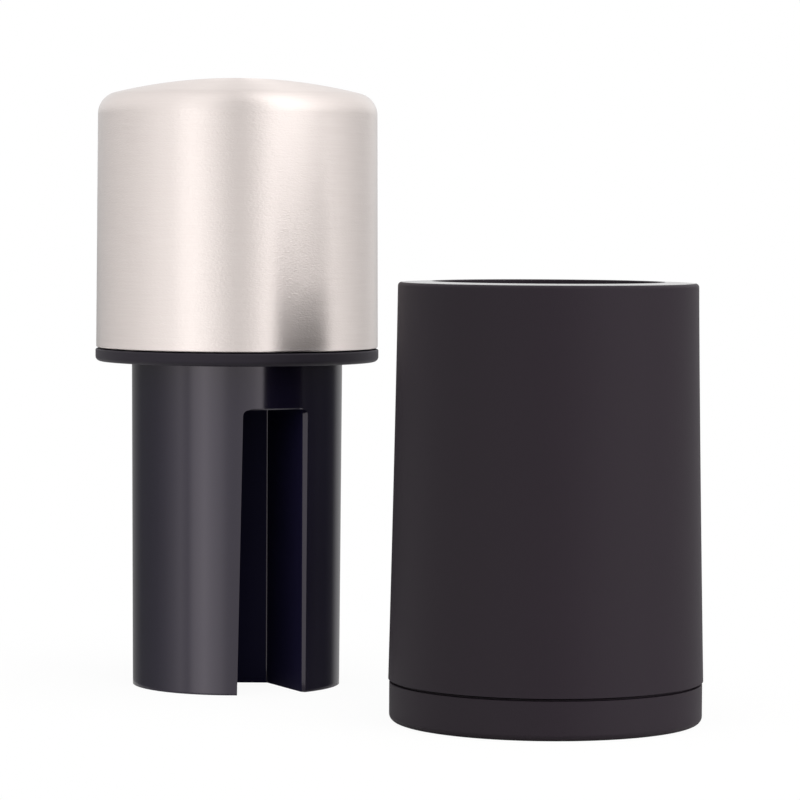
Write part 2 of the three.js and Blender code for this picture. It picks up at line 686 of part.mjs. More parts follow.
// Screw from above, through the core into the column
function columnScrew(azimuth) {
  const [x, y] = planPoint(HEAD_SCREW_CIRCLE, azimuth);
  return screw(HEAD_SCREW).translate(x, y, HEAD_SCREW_SEAT);
}

// Screw from below, through a lug of the sleeve into the body
function sleeveScrew(azimuth) {
  const [x, y] = planPoint(SLEEVE_SCREW_CIRCLE, azimuth);
  return screw(SLEEVE_SCREW).rotateX(Math.PI).translate(x, y, SLEEVE_BOTTOM - SEAT_GAP);
}

// Azimuth of a point of the plan
function azimuthOf([x, y]) {
  return (Math.atan2(x, -y) * 180) / Math.PI;
}

// The point where a line from a start point meets a circle about the axis, going forward
function onCircle(start, direction, radius) {
  const along = start[0] * direction[0] + start[1] * direction[1];
  const outside = start[0] ** 2 + start[1] ** 2 - radius ** 2;
  const reach = -along + Math.sqrt(along ** 2 - outside);
  return [start[0] + direction[0] * reach, start[1] + direction[1] * reach];
}

// Outline of the pocket inside the column's front shell
function pocketOutline(pocketRadius) {
  const end = onCircle(POCKET_CORNER, PUSHER_DIRECTION, pocketRadius);
  const turn = azimuthOf(end) - POCKET_LEFT_AZIMUTH;
  const outline = [];
  for (let i = 0; i <= POCKET_STEPS; i += 1) {
    outline.push(planPoint(pocketRadius, POCKET_LEFT_AZIMUTH + (turn * i) / POCKET_STEPS));
  }
  const left = outline[0];
  const bevel = POCKET_BACK_Y - left[1];
  outline.push(POCKET_CORNER);
  outline.push([left[0] + bevel, POCKET_BACK_Y]);
  return outline;
}

// Outline of the slot through the front shell, narrowed by a rounding at its top corners
function slotOutline(lipAzimuth, inset) {
  const lip = lipAzimuth + angleAlong(inset, COLUMN_TOP_RADIUS);
  const insideRadius = COLUMN_BOTTOM_RADIUS - 2 * SHELL_WALL;
  const outsideRadius = COLUMN_TOP_RADIUS + PAST_FACE;
  const edgeDirection = [Math.cos(radians(SLOT_EDGE_TURN)), -Math.sin(radians(SLOT_EDGE_TURN))];
  const end = [PUSHER_END[0] - inset, PUSHER_END[1]];
  const start = [
    end[0] - PUSHER_DIRECTION[0] * 2 * SHELL_WALL,
    end[1] - PUSHER_DIRECTION[1] * 2 * SHELL_WALL,
  ];
  return [
    planPoint(insideRadius, lip),
    planPoint(outsideRadius, lip),
    planPoint(outsideRadius + PAST_FACE, (lip + azimuthOf(end)) / 2),
    onCircle(end, edgeDirection, outsideRadius),
    end,
    start,
  ];
}

// Outline of the closed hollow behind the pocket's panels
function hollowOutline() {
  const panelY = POCKET_BACK_Y + PANEL_THICKNESS;
  const normal = [-PUSHER_DIRECTION[1], PUSHER_DIRECTION[0]];
  const onPanel = [
    POCKET_CORNER_X + normal[0] * PANEL_THICKNESS,
    POCKET_BACK_Y + normal[1] * PANEL_THICKNESS,
  ];
  const toCorner = (panelY - onPanel[1]) / PUSHER_DIRECTION[1];
  const cornerPoint = [onPanel[0] + PUSHER_DIRECTION[0] * toCorner, panelY];
  const fromAzimuth = azimuthOf(onCircle(onPanel, PUSHER_DIRECTION, VOID_RADIUS));
  const toAzimuth = azimuthOf(onCircle([0, panelY], [-1, 0], VOID_RADIUS)) + 360;
  const steps = INNER_STEPS / 2;
  const outline = [];
  for (let i = 0; i <= steps; i += 1) {
    outline.push(planPoint(VOID_RADIUS, fromAzimuth + ((toAzimuth - fromAzimuth) * i) / steps));
  }
  outline.push(cornerPoint);
  return outline;
}

// Column: pocket and slot for the nutmeg, open below, and a hollow open to the cap above
function chamberColumn() {
  const form = revolve([
    [0, 0],
    [COLUMN_BOTTOM_RADIUS - COLUMN_FOOT_CHAMFER, 0],
    [COLUMN_BOTTOM_RADIUS, COLUMN_FOOT_CHAMFER],
    [COLUMN_TOP_RADIUS, COLUMN_HEIGHT],
    [NECK_RADIUS, COLUMN_HEIGHT],
    [NECK_RADIUS, NECK_TOP],
    [0, NECK_TOP],
  ]);
  const ceilingTop = POCKET_HEIGHT + POCKET_CEILING;
  const pocketRadius = COLUMN_BOTTOM_RADIUS - SHELL_WALL;
  const pocket = loft([
    { outline: pocketOutline(pocketRadius), height: -PAST_FACE },
    { outline: pocketOutline(pocketRadius), height: POCKET_HEIGHT },
  ]);
  const roundingStart = POCKET_HEIGHT - SLOT_CORNER_ROUND;
  const slotLevels = [{ outline: slotOutline(SLOT_LIP_AZIMUTH_BOTTOM, 0), height: -PAST_FACE }];
  for (let i = 0; i <= SLOT_CORNER_STEPS; i += 1) {
    const turn = radians((90 * i) / SLOT_CORNER_STEPS);
    slotLevels.push({
      outline: slotOutline(SLOT_LIP_AZIMUTH_TOP, SLOT_CORNER_ROUND * (1 - Math.cos(turn))),
      height: roundingStart + SLOT_CORNER_ROUND * Math.sin(turn),
    });
  }
  const hollow = loft([
    { outline: hollowOutline(), height: COLUMN_FLOOR },
    { outline: hollowOutline(), height: ceilingTop + PAST_FACE },
  ]);
  const neckHollow = post(VOID_RADIUS, ceilingTop, NECK_TOP + PAST_FACE, 0, 0, INNER_STEPS);
  const bosses = HEAD_SCREW_AZIMUTHS.map((azimuth) =>
    post(COLUMN_BOSS_RADIUS, POCKET_HEIGHT + POCKET_CEILING / 2, NECK_TOP, HEAD_SCREW_CIRCLE, azimuth),
  );
  const pilots = HEAD_SCREW_AZIMUTHS.map((azimuth) =>
    post(
      HEAD_SCREW.shank + HOLE_CLEARANCE,
      HEAD_SCREW_SEAT - HEAD_SCREW.length - PILOT_END_GAP,
      NECK_TOP + PAST_FACE,
      HEAD_SCREW_CIRCLE,
      azimuth,
    ),
  );
  const shell = shaped(form, { cut: [pocket, loft(slotLevels), hollow, neckHollow] });
  return shaped(shell, { join: bosses, cut: pilots });
}

// Seat ring: rests on the column's shoulder, and on the body's rim when the mill is closed
function seatRing() {
  const bottomCentre = [RING_RADIUS - RING_BOTTOM_ROUND, RING_BOTTOM + RING_BOTTOM_ROUND];
  const coringInner = BORE_RADIUS + DECK_CHAMFER;
  const coringOuter = coringInner + RING_CORING_WIDTH;
  return revolveRing([
    [RING_BORE_RADIUS, RING_BOTTOM],
    [coringInner, RING_BOTTOM],
    [coringInner, RING_BOTTOM + RING_CORING_DEPTH],
    [coringOuter, RING_BOTTOM + RING_CORING_DEPTH],
    [coringOuter, RING_BOTTOM],
    ...arc(bottomCentre, RING_BOTTOM_ROUND, -90, 0, FILLET_STEPS),
    [RING_RADIUS, RING_TOP - RING_TOP_CHAMFER],
    [RING_RADIUS - RING_TOP_CHAMFER, RING_TOP],
    [RING_BORE_RADIUS, RING_TOP],
  ]);
}

// One face of the cap, at a depth inside its outer face: side, rounded shoulder, shallow dome
function capFace(depth) {
  const cornerRadius = CAP_CORNER_ROUND - depth;
  const domeRadius = CAP_DOME_RADIUS - depth;
  const centreRadius = CAP_SHOULDER_RADIUS - CAP_CORNER_ROUND;
  const domeCentre = CAP_TOP - CAP_DOME_RADIUS;
  const toCorner = CAP_DOME_RADIUS - CAP_CORNER_ROUND;
  const tilt = (Math.asin(centreRadius / toCorner) * 180) / Math.PI;
  const cornerCentre = [centreRadius, domeCentre + toCorner * Math.cos(radians(tilt))];
  return [
    [CAP_MOUTH_RADIUS - depth, CAP_BOTTOM],
    ...arc(cornerCentre, cornerRadius, 0, 90 - tilt, CAP_CORNER_STEPS),
    ...arc([0, domeCentre], domeRadius, 90 - tilt, 90, CAP_DOME_STEPS).slice(1),
  ];
}

// Inside radius of the cap at a height on its side
function capBore(height) {
  const [mouth, shoulder] = capFace(CAP_SHEET);
  const share = (height - mouth[1]) / (shoulder[1] - mouth[1]);
  return mouth[0] + (shoulder[0] - mouth[0]) * share;
}

// Steel cap: one drawn cup, open below
function steelCap() {
  return revolve([...capFace(CAP_SHEET).reverse(), ...capFace(0)]);
}

// Core: a ribbed cup, open above, that the steel cap is bonded over
function capCore() {
  const outerBottom = capBore(CORE_BOTTOM) - SEAT_GAP;
  const outerTop = capBore(CORE_TOP) - SEAT_GAP;
  const cup = revolveRing(
    [
      [CORE_VENT_RADIUS, CORE_BOTTOM],
      [outerBottom, CORE_BOTTOM],
      [outerTop, CORE_TOP],
      [outerTop - CORE_WALL, CORE_TOP],
      [outerBottom - CORE_WALL, CORE_FLOOR_TOP],
      [CORE_VENT_RADIUS, CORE_FLOOR_TOP],
    ],
    INNER_STEPS,
  );
  const ribInner = outerTop - CORE_WALL - CORE_RIB_DEPTH;
  const ribOuter = outerTop - CORE_WALL / 2;
  const ribBottom = CORE_FLOOR_TOP - CORE_FLOOR / 2;
  const ribTop = CORE_TOP - CORE_RIB_BELOW_EDGE;
  const ribs = [];
  for (let i = 0; i < CORE_RIBS; i += 1) {
    const azimuth = (360 * i) / CORE_RIBS;
    ribs.push(spoke(ribInner, ribOuter, CORE_RIB_THICKNESS, ribBottom, ribTop, azimuth));
  }
  const holes = HEAD_SCREW_AZIMUTHS.map((azimuth) =>
    post(
      HEAD_SCREW.shank + HOLE_CLEARANCE,
      CORE_BOTTOM - PAST_FACE,
      CORE_FLOOR_TOP + PAST_FACE,
      HEAD_SCREW_CIRCLE,
      azimuth,
    ),
  );
  return shaped(cup, { join: ribs, cut: holes });
}

// Finishes
const finish = (color, roughness, metalness) =>
  new THREE.MeshStandardMaterial({ color, roughness, metalness, flatShading: true });
const brushedSteel = () => finish("#d8d2cd", 0.32, 1.0);
const etchedSteel = () => finish("#b9bcc0", 0.28, 1.0);
const zincSteel = () => finish("#9fa3a8", 0.4, 1.0);
const softTouch = () => finish("#352e33", 0.75, 0.0);
const matteCharcoal = () => finish("#36343a", 0.7, 0.0);
const glossBlack = () => finish("#121116", 0.18, 0.0);
const innerBlack = () => finish("#1d1c20", 0.45, 0.0);
const whiteNylon = () => finish("#c9c6bd", 0.55, 0.0);
const silicone = () => finish("#3b3a3d", 0.6, 0.0);

// Puts one named piece into a group
function place(group, name, geometry, material) {
  const mesh = new THREE.Mesh(geometry, material);
  mesh.name = name;
  group.add(mesh);
}

// The mill body on its base cap, with the sleeve and its blade inside
const mill = new THREE.Group();
place(mill, "base_cap", baseCap(), softTouch());
place(mill, "seal_ring", sealRing(), silicone());
place(mill, "outer_body", outerBody(), softTouch());
place(mill, "blade_sleeve", bladeSleeve(), innerBlack());
place(mill, "grater_blade", graterBlade(), etchedSteel());
rivetPlaces().forEach((spot, i) => {
  place(mill, `blade_rivet_${i + 1}`, bladeRivet(spot), zincSteel());
});
BOSS_AZIMUTHS.forEach((azimuth, i) => {
  place(mill, `sleeve_screw_${i + 1}`, sleeveScrew(azimuth), zincSteel());
});

// The head, standing on its column
const head = new THREE.Group();
head.position.set(HEAD_X, HEAD_Y, 0);
place(head, "chamber_column", chamberColumn(), glossBlack());
place(head, "seat_ring", seatRing(), matteCharcoal());
place(head, "cap_core", capCore(), whiteNylon());
HEAD_SCREW_AZIMUTHS.forEach((azimuth, i) => {
  place(head, `column_screw_${i + 1}`, columnScrew(azimuth), zincSteel());
});
place(head, "steel_cap", steelCap(), brushedSteel());

const nutmegMill = new THREE.Group();
nutmegMill.add(mill, head);

export default nutmegMill;
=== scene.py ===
# %% [markdown]
# # A twist-top nutmeg mill, taken apart
#
# The mill has two halves. The head, on the left, is a brushed steel cap on a black column that
# carries the nutmeg. The body, on the right, holds a curved blade and stands on a base cap that
# catches the powder. This notebook dresses the solid parts of that mill: it builds a smooth skin
# for each one, gives every skin the finish of the real piece, and lights it all like a shop photo.

# %% The fixed frame
import math

import bmesh
import bpy
from mathutils import Matrix, Vector


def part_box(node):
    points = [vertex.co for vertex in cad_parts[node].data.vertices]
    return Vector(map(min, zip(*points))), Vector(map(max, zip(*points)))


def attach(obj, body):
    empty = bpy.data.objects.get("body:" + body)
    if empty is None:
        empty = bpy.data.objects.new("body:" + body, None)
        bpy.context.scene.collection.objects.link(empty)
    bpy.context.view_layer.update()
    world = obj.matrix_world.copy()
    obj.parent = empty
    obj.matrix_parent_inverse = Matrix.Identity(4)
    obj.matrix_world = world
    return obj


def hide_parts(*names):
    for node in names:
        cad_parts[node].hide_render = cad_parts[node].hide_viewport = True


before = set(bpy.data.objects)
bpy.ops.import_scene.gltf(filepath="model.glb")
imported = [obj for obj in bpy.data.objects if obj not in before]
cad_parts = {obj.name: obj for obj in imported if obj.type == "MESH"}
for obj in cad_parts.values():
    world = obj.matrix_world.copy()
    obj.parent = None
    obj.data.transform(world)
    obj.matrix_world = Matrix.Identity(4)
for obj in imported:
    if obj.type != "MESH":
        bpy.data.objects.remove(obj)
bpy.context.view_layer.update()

# %% [markdown]
# ## Sizes
#
# Everything is measured in millimetres here and turned to metres when a mesh is made. What the
# solids can tell is read from them, so that each skin sits exactly where its solid is. Pieces that
# only rest in each other are a seat gap apart. Azimuths are degrees from -Y, which faces the
# camera, towards +X.

# %% Sizes read from the solids
MM = 0.001
SEAT_GAP = 0.3


def corners(node):
    """Lowest and highest corner of a solid, in millimetres."""
    return [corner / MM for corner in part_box(node)]


def middle(node):
    """Middle of a solid's box, in millimetres."""
    low, high = corners(node)
    return (low + high) / 2


base_high = corners("base_cap")[1]
body_low, body_high = corners("outer_body")
sleeve_low, sleeve_high = corners("blade_sleeve")
blade_low, blade_high = corners("grater_blade")
column_low, column_high = corners("chamber_column")
ring_low, ring_high = corners("seat_ring")
core_low, core_high = corners("cap_core")
cap_low, cap_high = corners("steel_cap")

HEAD = ((cap_low.x + cap_high.x) / 2, (cap_low.y + cap_high.y) / 2)
MILL = (0.0, 0.0)
print("head axis at", [round(value, 2) for value in HEAD], "mm")
print("mill body", round(body_high.z, 2), "mm high; cap top at", round(cap_high.z, 2), "mm")

# %% [markdown]
# ## Tools for meshes
#
# Each skin is sewn together from patches: a patch is a grid of points, or one flat outline that is
# filled. Points that meet are merged afterwards, so patches only have to agree along their edges.
# Round stretches are arcs, which keeps the outlines short and lets a highlight run over an edge.

# %% Points and arcs
def plan_point(radius, azimuth):
    """A point of the plan at a radius and an azimuth."""
    turn = math.radians(azimuth)
    return (radius * math.sin(turn), -radius * math.cos(turn))


def azimuth_of(point):
    return math.degrees(math.atan2(point[0], -point[1]))


def spread(start, end, steps):
    """Evenly spaced numbers, both ends included."""
    return [start + (end - start) * i / steps for i in range(steps + 1)]


def arc(centre, radius, start, end, steps):
    """Points of an arc; angles run from the first axis towards the second."""
    turns = [math.radians(angle) for angle in spread(start, end, steps)]
    return [(centre[0] + radius * math.cos(t), centre[1] + radius * math.sin(t)) for t in turns]


print("azimuth 90 is at", [round(value, 3) for value in plan_point(1.0, 90)])

# %% Patches
ROUND_STEPS = 240
ORIGIN = (0.0, 0.0)


def grid(rows, closed=False):
    """Quads between rows of points."""
    faces = []
    count = len(rows[0])
    for lower, upper in zip(rows, rows[1:]):
        for i in range(count if closed else count - 1):
            j = (i + 1) % count
            faces.append((lower[i], lower[j], upper[j], upper[i]))
    return faces


def turned(profile, axis, steps=ROUND_STEPS):
    """A profile of (radius, height) points, turned about an upright axis."""
    rows = []
    for radius, height in profile:
        row = []
        for azimuth in spread(0, 360, steps)[:-1]:
            x, y = plan_point(radius, azimuth)
            row.append((axis[0] + x, axis[1] + y, height))
        rows.append(row)
    return grid(rows, closed=True)


print("a flat turned ring has", len(turned([(1.0, 0.0), (2.0, 0.0)], ORIGIN)), "faces")

# %% The skin that is sewn from patches
MERGE_DISTANCE = 0.002
SHARP_ANGLE = 32.0


def smooth(skin):
    """Smooth shading, with a crease wherever two faces meet at a clear angle."""
    skin.data.shade_smooth()
    skin.data.set_sharp_from_angle(angle=math.radians(SHARP_ANGLE))


def sewn(name, faces, closed=True):
    """One mesh object from loose faces in millimetres; a closed one gets its normals outwards."""
    shape = bmesh.new()
    for face in faces:
        corners_of_face = [shape.verts.new(Vector(point) * MM) for point in face]
        shape.faces.new(corners_of_face)
    bmesh.ops.remove_doubles(shape, verts=shape.verts, dist=MERGE_DISTANCE * MM)
    bmesh.ops.dissolve_degenerate(shape, edges=shape.edges, dist=MERGE_DISTANCE * MM / 4)
    if closed:
        bmesh.ops.recalc_face_normals(shape, faces=shape.faces)
    mesh = bpy.data.meshes.new(name)
    shape.to_mesh(mesh)
    shape.free()
    skin = bpy.data.objects.new(name, mesh)
    bpy.context.scene.collection.objects.link(skin)
    smooth(skin)
    return skin


def baked(skin):
    """Turns an object and its modifiers into a plain mesh."""
    evaluated = skin.evaluated_get(bpy.context.evaluated_depsgraph_get())
    mesh = bpy.data.meshes.new_from_object(evaluated)
    skin.modifiers.clear()
    skin.data = mesh
    mesh.name = skin.name
    return skin


print("points up to", MERGE_DISTANCE, "mm apart are merged")

# %% Handing a finished skin to the frame
def dressed(skin, body, slot, nodes, *materials):
    """Finishes a skin's shading, gives it its materials and its body, and hides the solids it
    stands for.

    Weighted normals let a large face stay flat in the light next to a small rounded edge.
    """
    for material in materials:
        skin.data.materials.append(material)
    smooth(skin)
    weighted = skin.modifiers.new("Weighted normals", "WEIGHTED_NORMAL")
    weighted.keep_sharp = True
    baked(skin)
    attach(skin, body)
    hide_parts(*nodes)
    print(skin.name, "has", len(skin.data.polygons), "faces")
    return skin


# %% [markdown]
# ## A tool for nodes
#
# Shaders and Geometry Nodes are built in code with one small function. It adds a node, sets its
# settings by name, and fills each input with a value or joins it to another node's output.
# Colours are written as on a colour card, in sRGB, and turned to linear light on the way in.

# %% Nodes and colours
def add(tree, kind, inputs=None, **settings):
    """Adds a node with its settings; an input is a value, or a socket to join."""
    node = tree.nodes.new(kind)
    for name, value in settings.items():
        setattr(node, name, value)
    for name, value in (inputs or {}).items():
        if isinstance(value, bpy.types.NodeSocket):
            tree.links.new(value, node.inputs[name])
        else:
            node.inputs[name].default_value = value
    return node


def linear(hex_colour):
    """An sRGB hex colour as linear red, green, blue and alpha."""
    values = [int(hex_colour[i : i + 2], 16) / 255 for i in (1, 3, 5)]
    light = [v / 12.92 if v <= 0.04045 else ((v + 0.055) / 1.055) ** 2.4 for v in values]
    return (*light, 1.0)


def new_material(name, **shader_values):
    """A material with one Principled shader, whose plain values are set on its own sockets."""
    material = bpy.data.materials.new(name)
    material.use_nodes = True
    tree = material.node_tree
    tree.nodes.clear()
    shader = add(tree, "ShaderNodeBsdfPrincipled")
    for socket, value in shader_values.items():
        shader.inputs[socket.replace("_", " ")].default_value = value
    add(tree, "ShaderNodeOutputMaterial", {"Surface": shader.outputs["BSDF"]})
    return material, tree, shader


def per_metre(size_in_mm):
    """Noise scale for a feature of a real size, on Object coordinates in metres."""
    return 1 / (size_in_mm * MM)


print("a middle grey of #808080 is", round(linear("#808080")[0], 3), "in linear light")

# %% [markdown]
# ## A tool for what repeats
#
# Screws, rivets, ribs and holes stand around an axis at even steps. Geometry Nodes place them: one
# tree takes a single form and sets it at every place, in rings one above the other. Its sizes are
# named inputs, so the same tree serves the whole mill, and it ends by making the copies real.

# %% Trees and their inputs
def new_tree(name, **inputs):
    """A tree of Geometry Nodes that takes a geometry and named inputs, and gives a geometry."""
    tree = bpy.data.node_groups.new(name, "GeometryNodeTree")
    tree.interface.new_socket("Geometry", in_out="INPUT", socket_type="NodeSocketGeometry")
    for label, kind in inputs.items():
        socket = label.replace("_", " ")
        tree.interface.new_socket(socket, in_out="INPUT", socket_type=f"NodeSocket{kind}")
    tree.interface.new_socket("Geometry", in_out="OUTPUT", socket_type="NodeSocketGeometry")
    return tree, add(tree, "NodeGroupInput").outputs


def end_tree(tree, geometry, finish):
    """Ends a tree with real geometry instead of instances, and its finish."""
    real = add(tree, "GeometryNodeRealizeInstances", {"Geometry": geometry})
    done = add(tree, "GeometryNodeSetMaterial", {"Geometry": real.outputs[0], "Material": finish})
    add(tree, "NodeGroupOutput", {"Geometry": done.outputs[0]})


def grown(skin, tree, **inputs):
    """Runs a tree on a skin, and keeps the result as its plain mesh."""
    modifier = skin.modifiers.new(tree.name, "NODES")
    modifier.node_group = tree
    values = {label.replace("_", " "): value for label, value in inputs.items()}
    for item in tree.interface.items_tree:
        if item.in_out == "INPUT" and item.name in values:
            modifier[item.identifier] = values[item.name]
    return baked(skin)


# %% The tree that sets a form around an axis
def ring_tree():
    tree, given = new_tree(
        "Set around an axis",
        Count="Int",
        Rings="Int",
        Circle_radius="Float",
        First_azimuth="Float",
        Azimuth_step="Float",
        Foot_height="Float",
        Ring_pitch="Float",
        Axis="Vector",
        Finish="Material",
    )
    total = add(
        tree, "ShaderNodeMath", {0: given["Count"], 1: given["Rings"]}, operation="MULTIPLY"
    )
    index = add(tree, "GeometryNodeInputIndex").outputs["Index"]
    place = add(tree, "ShaderNodeMath", {0: index, 1: given["Count"]}, operation="MODULO")
    level = add(tree, "ShaderNodeMath", {0: index, 1: given["Count"]}, operation="DIVIDE")
    ring = add(tree, "ShaderNodeMath", {0: level.outputs[0]}, operation="FLOOR")
    azimuth = add(
        tree,
        "ShaderNodeMath",
        {0: place.outputs[0], 1: given["Azimuth step"], 2: given["First azimuth"]},
        operation="MULTIPLY_ADD",
    )
    height = add(
        tree,
        "ShaderNodeMath",
        {0: ring.outputs[0], 1: given["Ring pitch"], 2: given["Foot height"]},
        operation="MULTIPLY_ADD",
    )
    forward = add(
        tree, "ShaderNodeMath", {0: given["Circle radius"], 1: -1.0}, operation="MULTIPLY"
    )
    on_front = add(
        tree, "ShaderNodeCombineXYZ", {"Y": forward.outputs[0], "Z": height.outputs[0]}
    )
    turned_place = add(
        tree,
        "ShaderNodeVectorRotate",
        {"Vector": on_front.outputs[0], "Angle": azimuth.outputs[0]},
        rotation_type="Z_AXIS",
    )
    on_axis = add(
        tree,
        "ShaderNodeVectorMath",
        {0: turned_place.outputs[0], 1: given["Axis"]},
        operation="ADD",
    )
    points = add(
        tree,
        "GeometryNodePoints",
        {"Count": total.outputs[0], "Position": on_axis.outputs[0]},
    )
    turn = add(
        tree,
        "FunctionNodeAxisAngleToRotation",
        {"Axis": (0, 0, 1), "Angle": azimuth.outputs[0]},
    )
    copies = add(
        tree,
        "GeometryNodeInstanceOnPoints",
        {
            "Points": points.outputs[0],
            "Instance": given["Geometry"],
            "Rotation": turn.outputs[0],
        },
    )
    end_tree(tree, copies.outputs[0], given["Finish"])
    return tree


RING_TREE = ring_tree()
print(RING_TREE.name, "has", len(RING_TREE.nodes), "nodes")

# %% Copies around an axis
def set_around(skin, count, first, step, finish, radius=0.0, low=0.0, rings=1, pitch=0.0,
               axis=ORIGIN):
    """Copies of a skin around an axis; sizes in millimetres, azimuths in degrees."""
    return grown(
        skin,
        RING_TREE,
        Count=count,
        Rings=rings,
        Circle_radius=radius * MM,
        First_azimuth=math.radians(first),
        Azimuth_step=math.radians(step),
        Foot_height=low * MM,
        Ring_pitch=pitch * MM,
        Axis=(axis[0] * MM, axis[1] * MM, 0.0),
        Finish=finish,
    )


# %% [markdown]
# ## Finish: brushed stainless steel
#
# The cap is drawn from sheet and brushed while it spins, so the scratches run around it. Light
# that falls on such a surface is smeared across the scratches, up and down the cap, while
# left and right it stays fairly crisp: that makes the tall soft bands. An anisotropic Principled
# shader does this. Its tangent follows the UV map around the cap and is turned by a quarter.
# Two noises make the scratches. One is long around the cap and 0.3 mm high, and moves the colour,
# the roughness and the bump a little. The other is short and tilts the surface by about a degree:
# it stays out of sight on the pale bands and shows as a fine grain where one band meets the next.
# Real scratches are several times finer than a pixel, so both are drawn as coarse as they need to
# be to show.

# %% A colour and a roughness that wander
def wandering(tree, shader, noise, colour, lighter, roughness, swing):
    """Lets a noise move a shader between two colours, and its roughness by a swing."""
    tint = add(
        tree,
        "ShaderNodeMix",
        {"Factor": noise, "A": linear(colour), "B": linear(lighter)},
        data_type="RGBA",
    )
    gloss = add(
        tree,
        "ShaderNodeMapRange",
        {"Value": noise, "To Min": roughness - swing, "To Max": roughness + swing},
    )
    tree.links.new(tint.outputs["Result"], shader.inputs["Base Color"])
    tree.links.new(gloss.outputs["Result"], shader.inputs["Roughness"])


print("a pattern of 0.3 mm has the scale", round(per_metre(0.3)))

# %% Brushed stainless steel
SCRATCH_LENGTH, SCRATCH_HEIGHT = 10.0, 0.3
SCRATCH_DEPTH, SCRATCH_STRENGTH = 0.05, 0.12
GRAIN_LENGTH, GRAIN_HEIGHT = 0.6, 0.25
GRAIN_DEPTH, GRAIN_STRENGTH = 0.045, 1.0
FINER_DETAIL = 0.65
STEEL_ROUGHNESS = 0.36
ROUGHNESS_SWING = 0.07


def brushed_steel():
    material, tree, shader = new_material(
        "Brushed stainless steel", Metallic=1.0, Anisotropic=0.92, Anisotropic_Rotation=0.25
    )
    tangent = add(tree, "ShaderNodeTangent", direction_type="UV_MAP", uv_map="Around")
    place = add(tree, "ShaderNodeTexCoord")
    noises = []
    for long, high, detail in (
        (SCRATCH_LENGTH, SCRATCH_HEIGHT, 4.0),
        (GRAIN_LENGTH, GRAIN_HEIGHT, 2.0),
    ):
        along, up = per_metre(long), per_metre(high)
        stretched = add(
            tree,
            "ShaderNodeMapping",
            {"Vector": place.outputs["Object"], "Scale": (along, along, up)},
        )
        noises.append(add(
            tree,
            "ShaderNodeTexNoise",
            {
                "Vector": stretched.outputs["Vector"],
                "Scale": 1.0,
                "Detail": detail,
                "Roughness": FINER_DETAIL,
            },
        ))
    scratches, grain = noises
    height = scratches.outputs["Fac"]
    wandering(tree, shader, height, "#d0c6c2", "#ddd5d1", STEEL_ROUGHNESS, ROUGHNESS_SWING)
    tilt = add(
        tree,
        "ShaderNodeBump",
        {
            "Height": grain.outputs["Fac"],
            "Strength": GRAIN_STRENGTH,
            "Distance": GRAIN_DEPTH * MM,
        },
    )
    bump = add(
        tree,
        "ShaderNodeBump",
        {
            "Height": height,
            "Strength": SCRATCH_STRENGTH,
            "Distance": SCRATCH_DEPTH * MM,
            "Normal": tilt.outputs["Normal"],
        },
    )
    tree.links.new(bump.outputs["Normal"], shader.inputs["Normal"])
    tree.links.new(tangent.outputs["Tangent"], shader.inputs["Tangent"])
    return material


STEEL = brushed_steel()
print("made", STEEL.name)

# %% [markdown]
# ## Finishes: moulded plastics
#
# These plastics differ mostly in how their mould was finished. The column comes from a polished
# mould and mirrors the room, all but its pocket, whose faces carry painted shade: a copy of its ABS
# that is a little bluer and hardly reflects. The sleeve's mould is plain, the ring's is
# spark-eroded and matt, and body and base are sprayed with a rubbery soft-touch coat over that.
# One function serves them all: a colour that wanders slightly, a roughness that wanders with it,
# and a fine bump. The grain of a mould is finer than a pixel, so it is drawn a little coarser.

# %% Plastics
CLOUD_SIZE = 18.0
MOULD_BUMP_STRENGTH = 0.5


def moulded(name, colour, lighter, roughness, swing, grain, depth, **values):
    """A moulded plastic; its grain is the size of its texture and its depth, both in mm."""
    material, tree, shader = new_material(name, **values)
    place = add(tree, "ShaderNodeTexCoord")
    clouds = add(
        tree,
        "ShaderNodeTexNoise",
        {"Vector": place.outputs["Object"], "Scale": per_metre(CLOUD_SIZE), "Detail": 3.0},
    )
    texture = add(
        tree,
        "ShaderNodeTexNoise",
        {"Vector": place.outputs["Object"], "Scale": per_metre(grain), "Detail": 2.0},
    )
    wandering(tree, shader, clouds.outputs["Fac"], colour, lighter, roughness, swing)
    bump = add(
        tree,
        "ShaderNodeBump",
        {
            "Height": texture.outputs["Fac"],
            "Strength": MOULD_BUMP_STRENGTH,
            "Distance": depth * MM,
        },
    )
    tree.links.new(bump.outputs["Normal"], shader.inputs["Normal"])
    return material


print("each plastic has clouds of", CLOUD_SIZE, "mm")

# %% Plastics: gloss and matt
# Polished black ABS: nearly black, and bright only where it mirrors something
GLOSS_ABS = moulded(
    "Polished ABS", "#141122", "#181528", roughness=0.14, swing=0.02, grain=6.0, depth=0.01,
    Specular_Tint=(1.0, 0.92, 0.99, 1.0),
)
# Painted shade for the column's pocket: the same ABS, a little bluer, and with hardly a reflection
POCKET_SHADE_ABS = moulded(
    "Unpolished ABS", "#18162d", "#1e1b35", roughness=0.5, swing=0.05, grain=0.5, depth=0.02,
    Specular_IOR_Level=0.05,
)
# Plain moulded ABS of the sleeve: black, with a broad soft sheen
INNER_ABS = moulded(
    "Moulded ABS", "#1b1a1e", "#232227", roughness=0.42, swing=0.05, grain=0.8, depth=0.02
)
# Spark-eroded ABS of the ring: matt, so the bright room only greys it a little
MATT_ABS = moulded(
    "Spark-eroded ABS", "#221e25", "#29252d", roughness=0.6, swing=0.05, grain=0.35, depth=0.05,
    Specular_IOR_Level=0.2,
)
print("made", GLOSS_ABS.name, "and three more")

# %% Plastics: coated and soft
# Soft-touch coat: a deep aubergine that stays dark and has no sharp highlight
SOFT_TOUCH = moulded(
    "Soft-touch coated ABS", "#1b141b", "#1f181f", roughness=0.6, swing=0.03, grain=0.25,
    depth=0.03, Specular_IOR_Level=0.2,
)
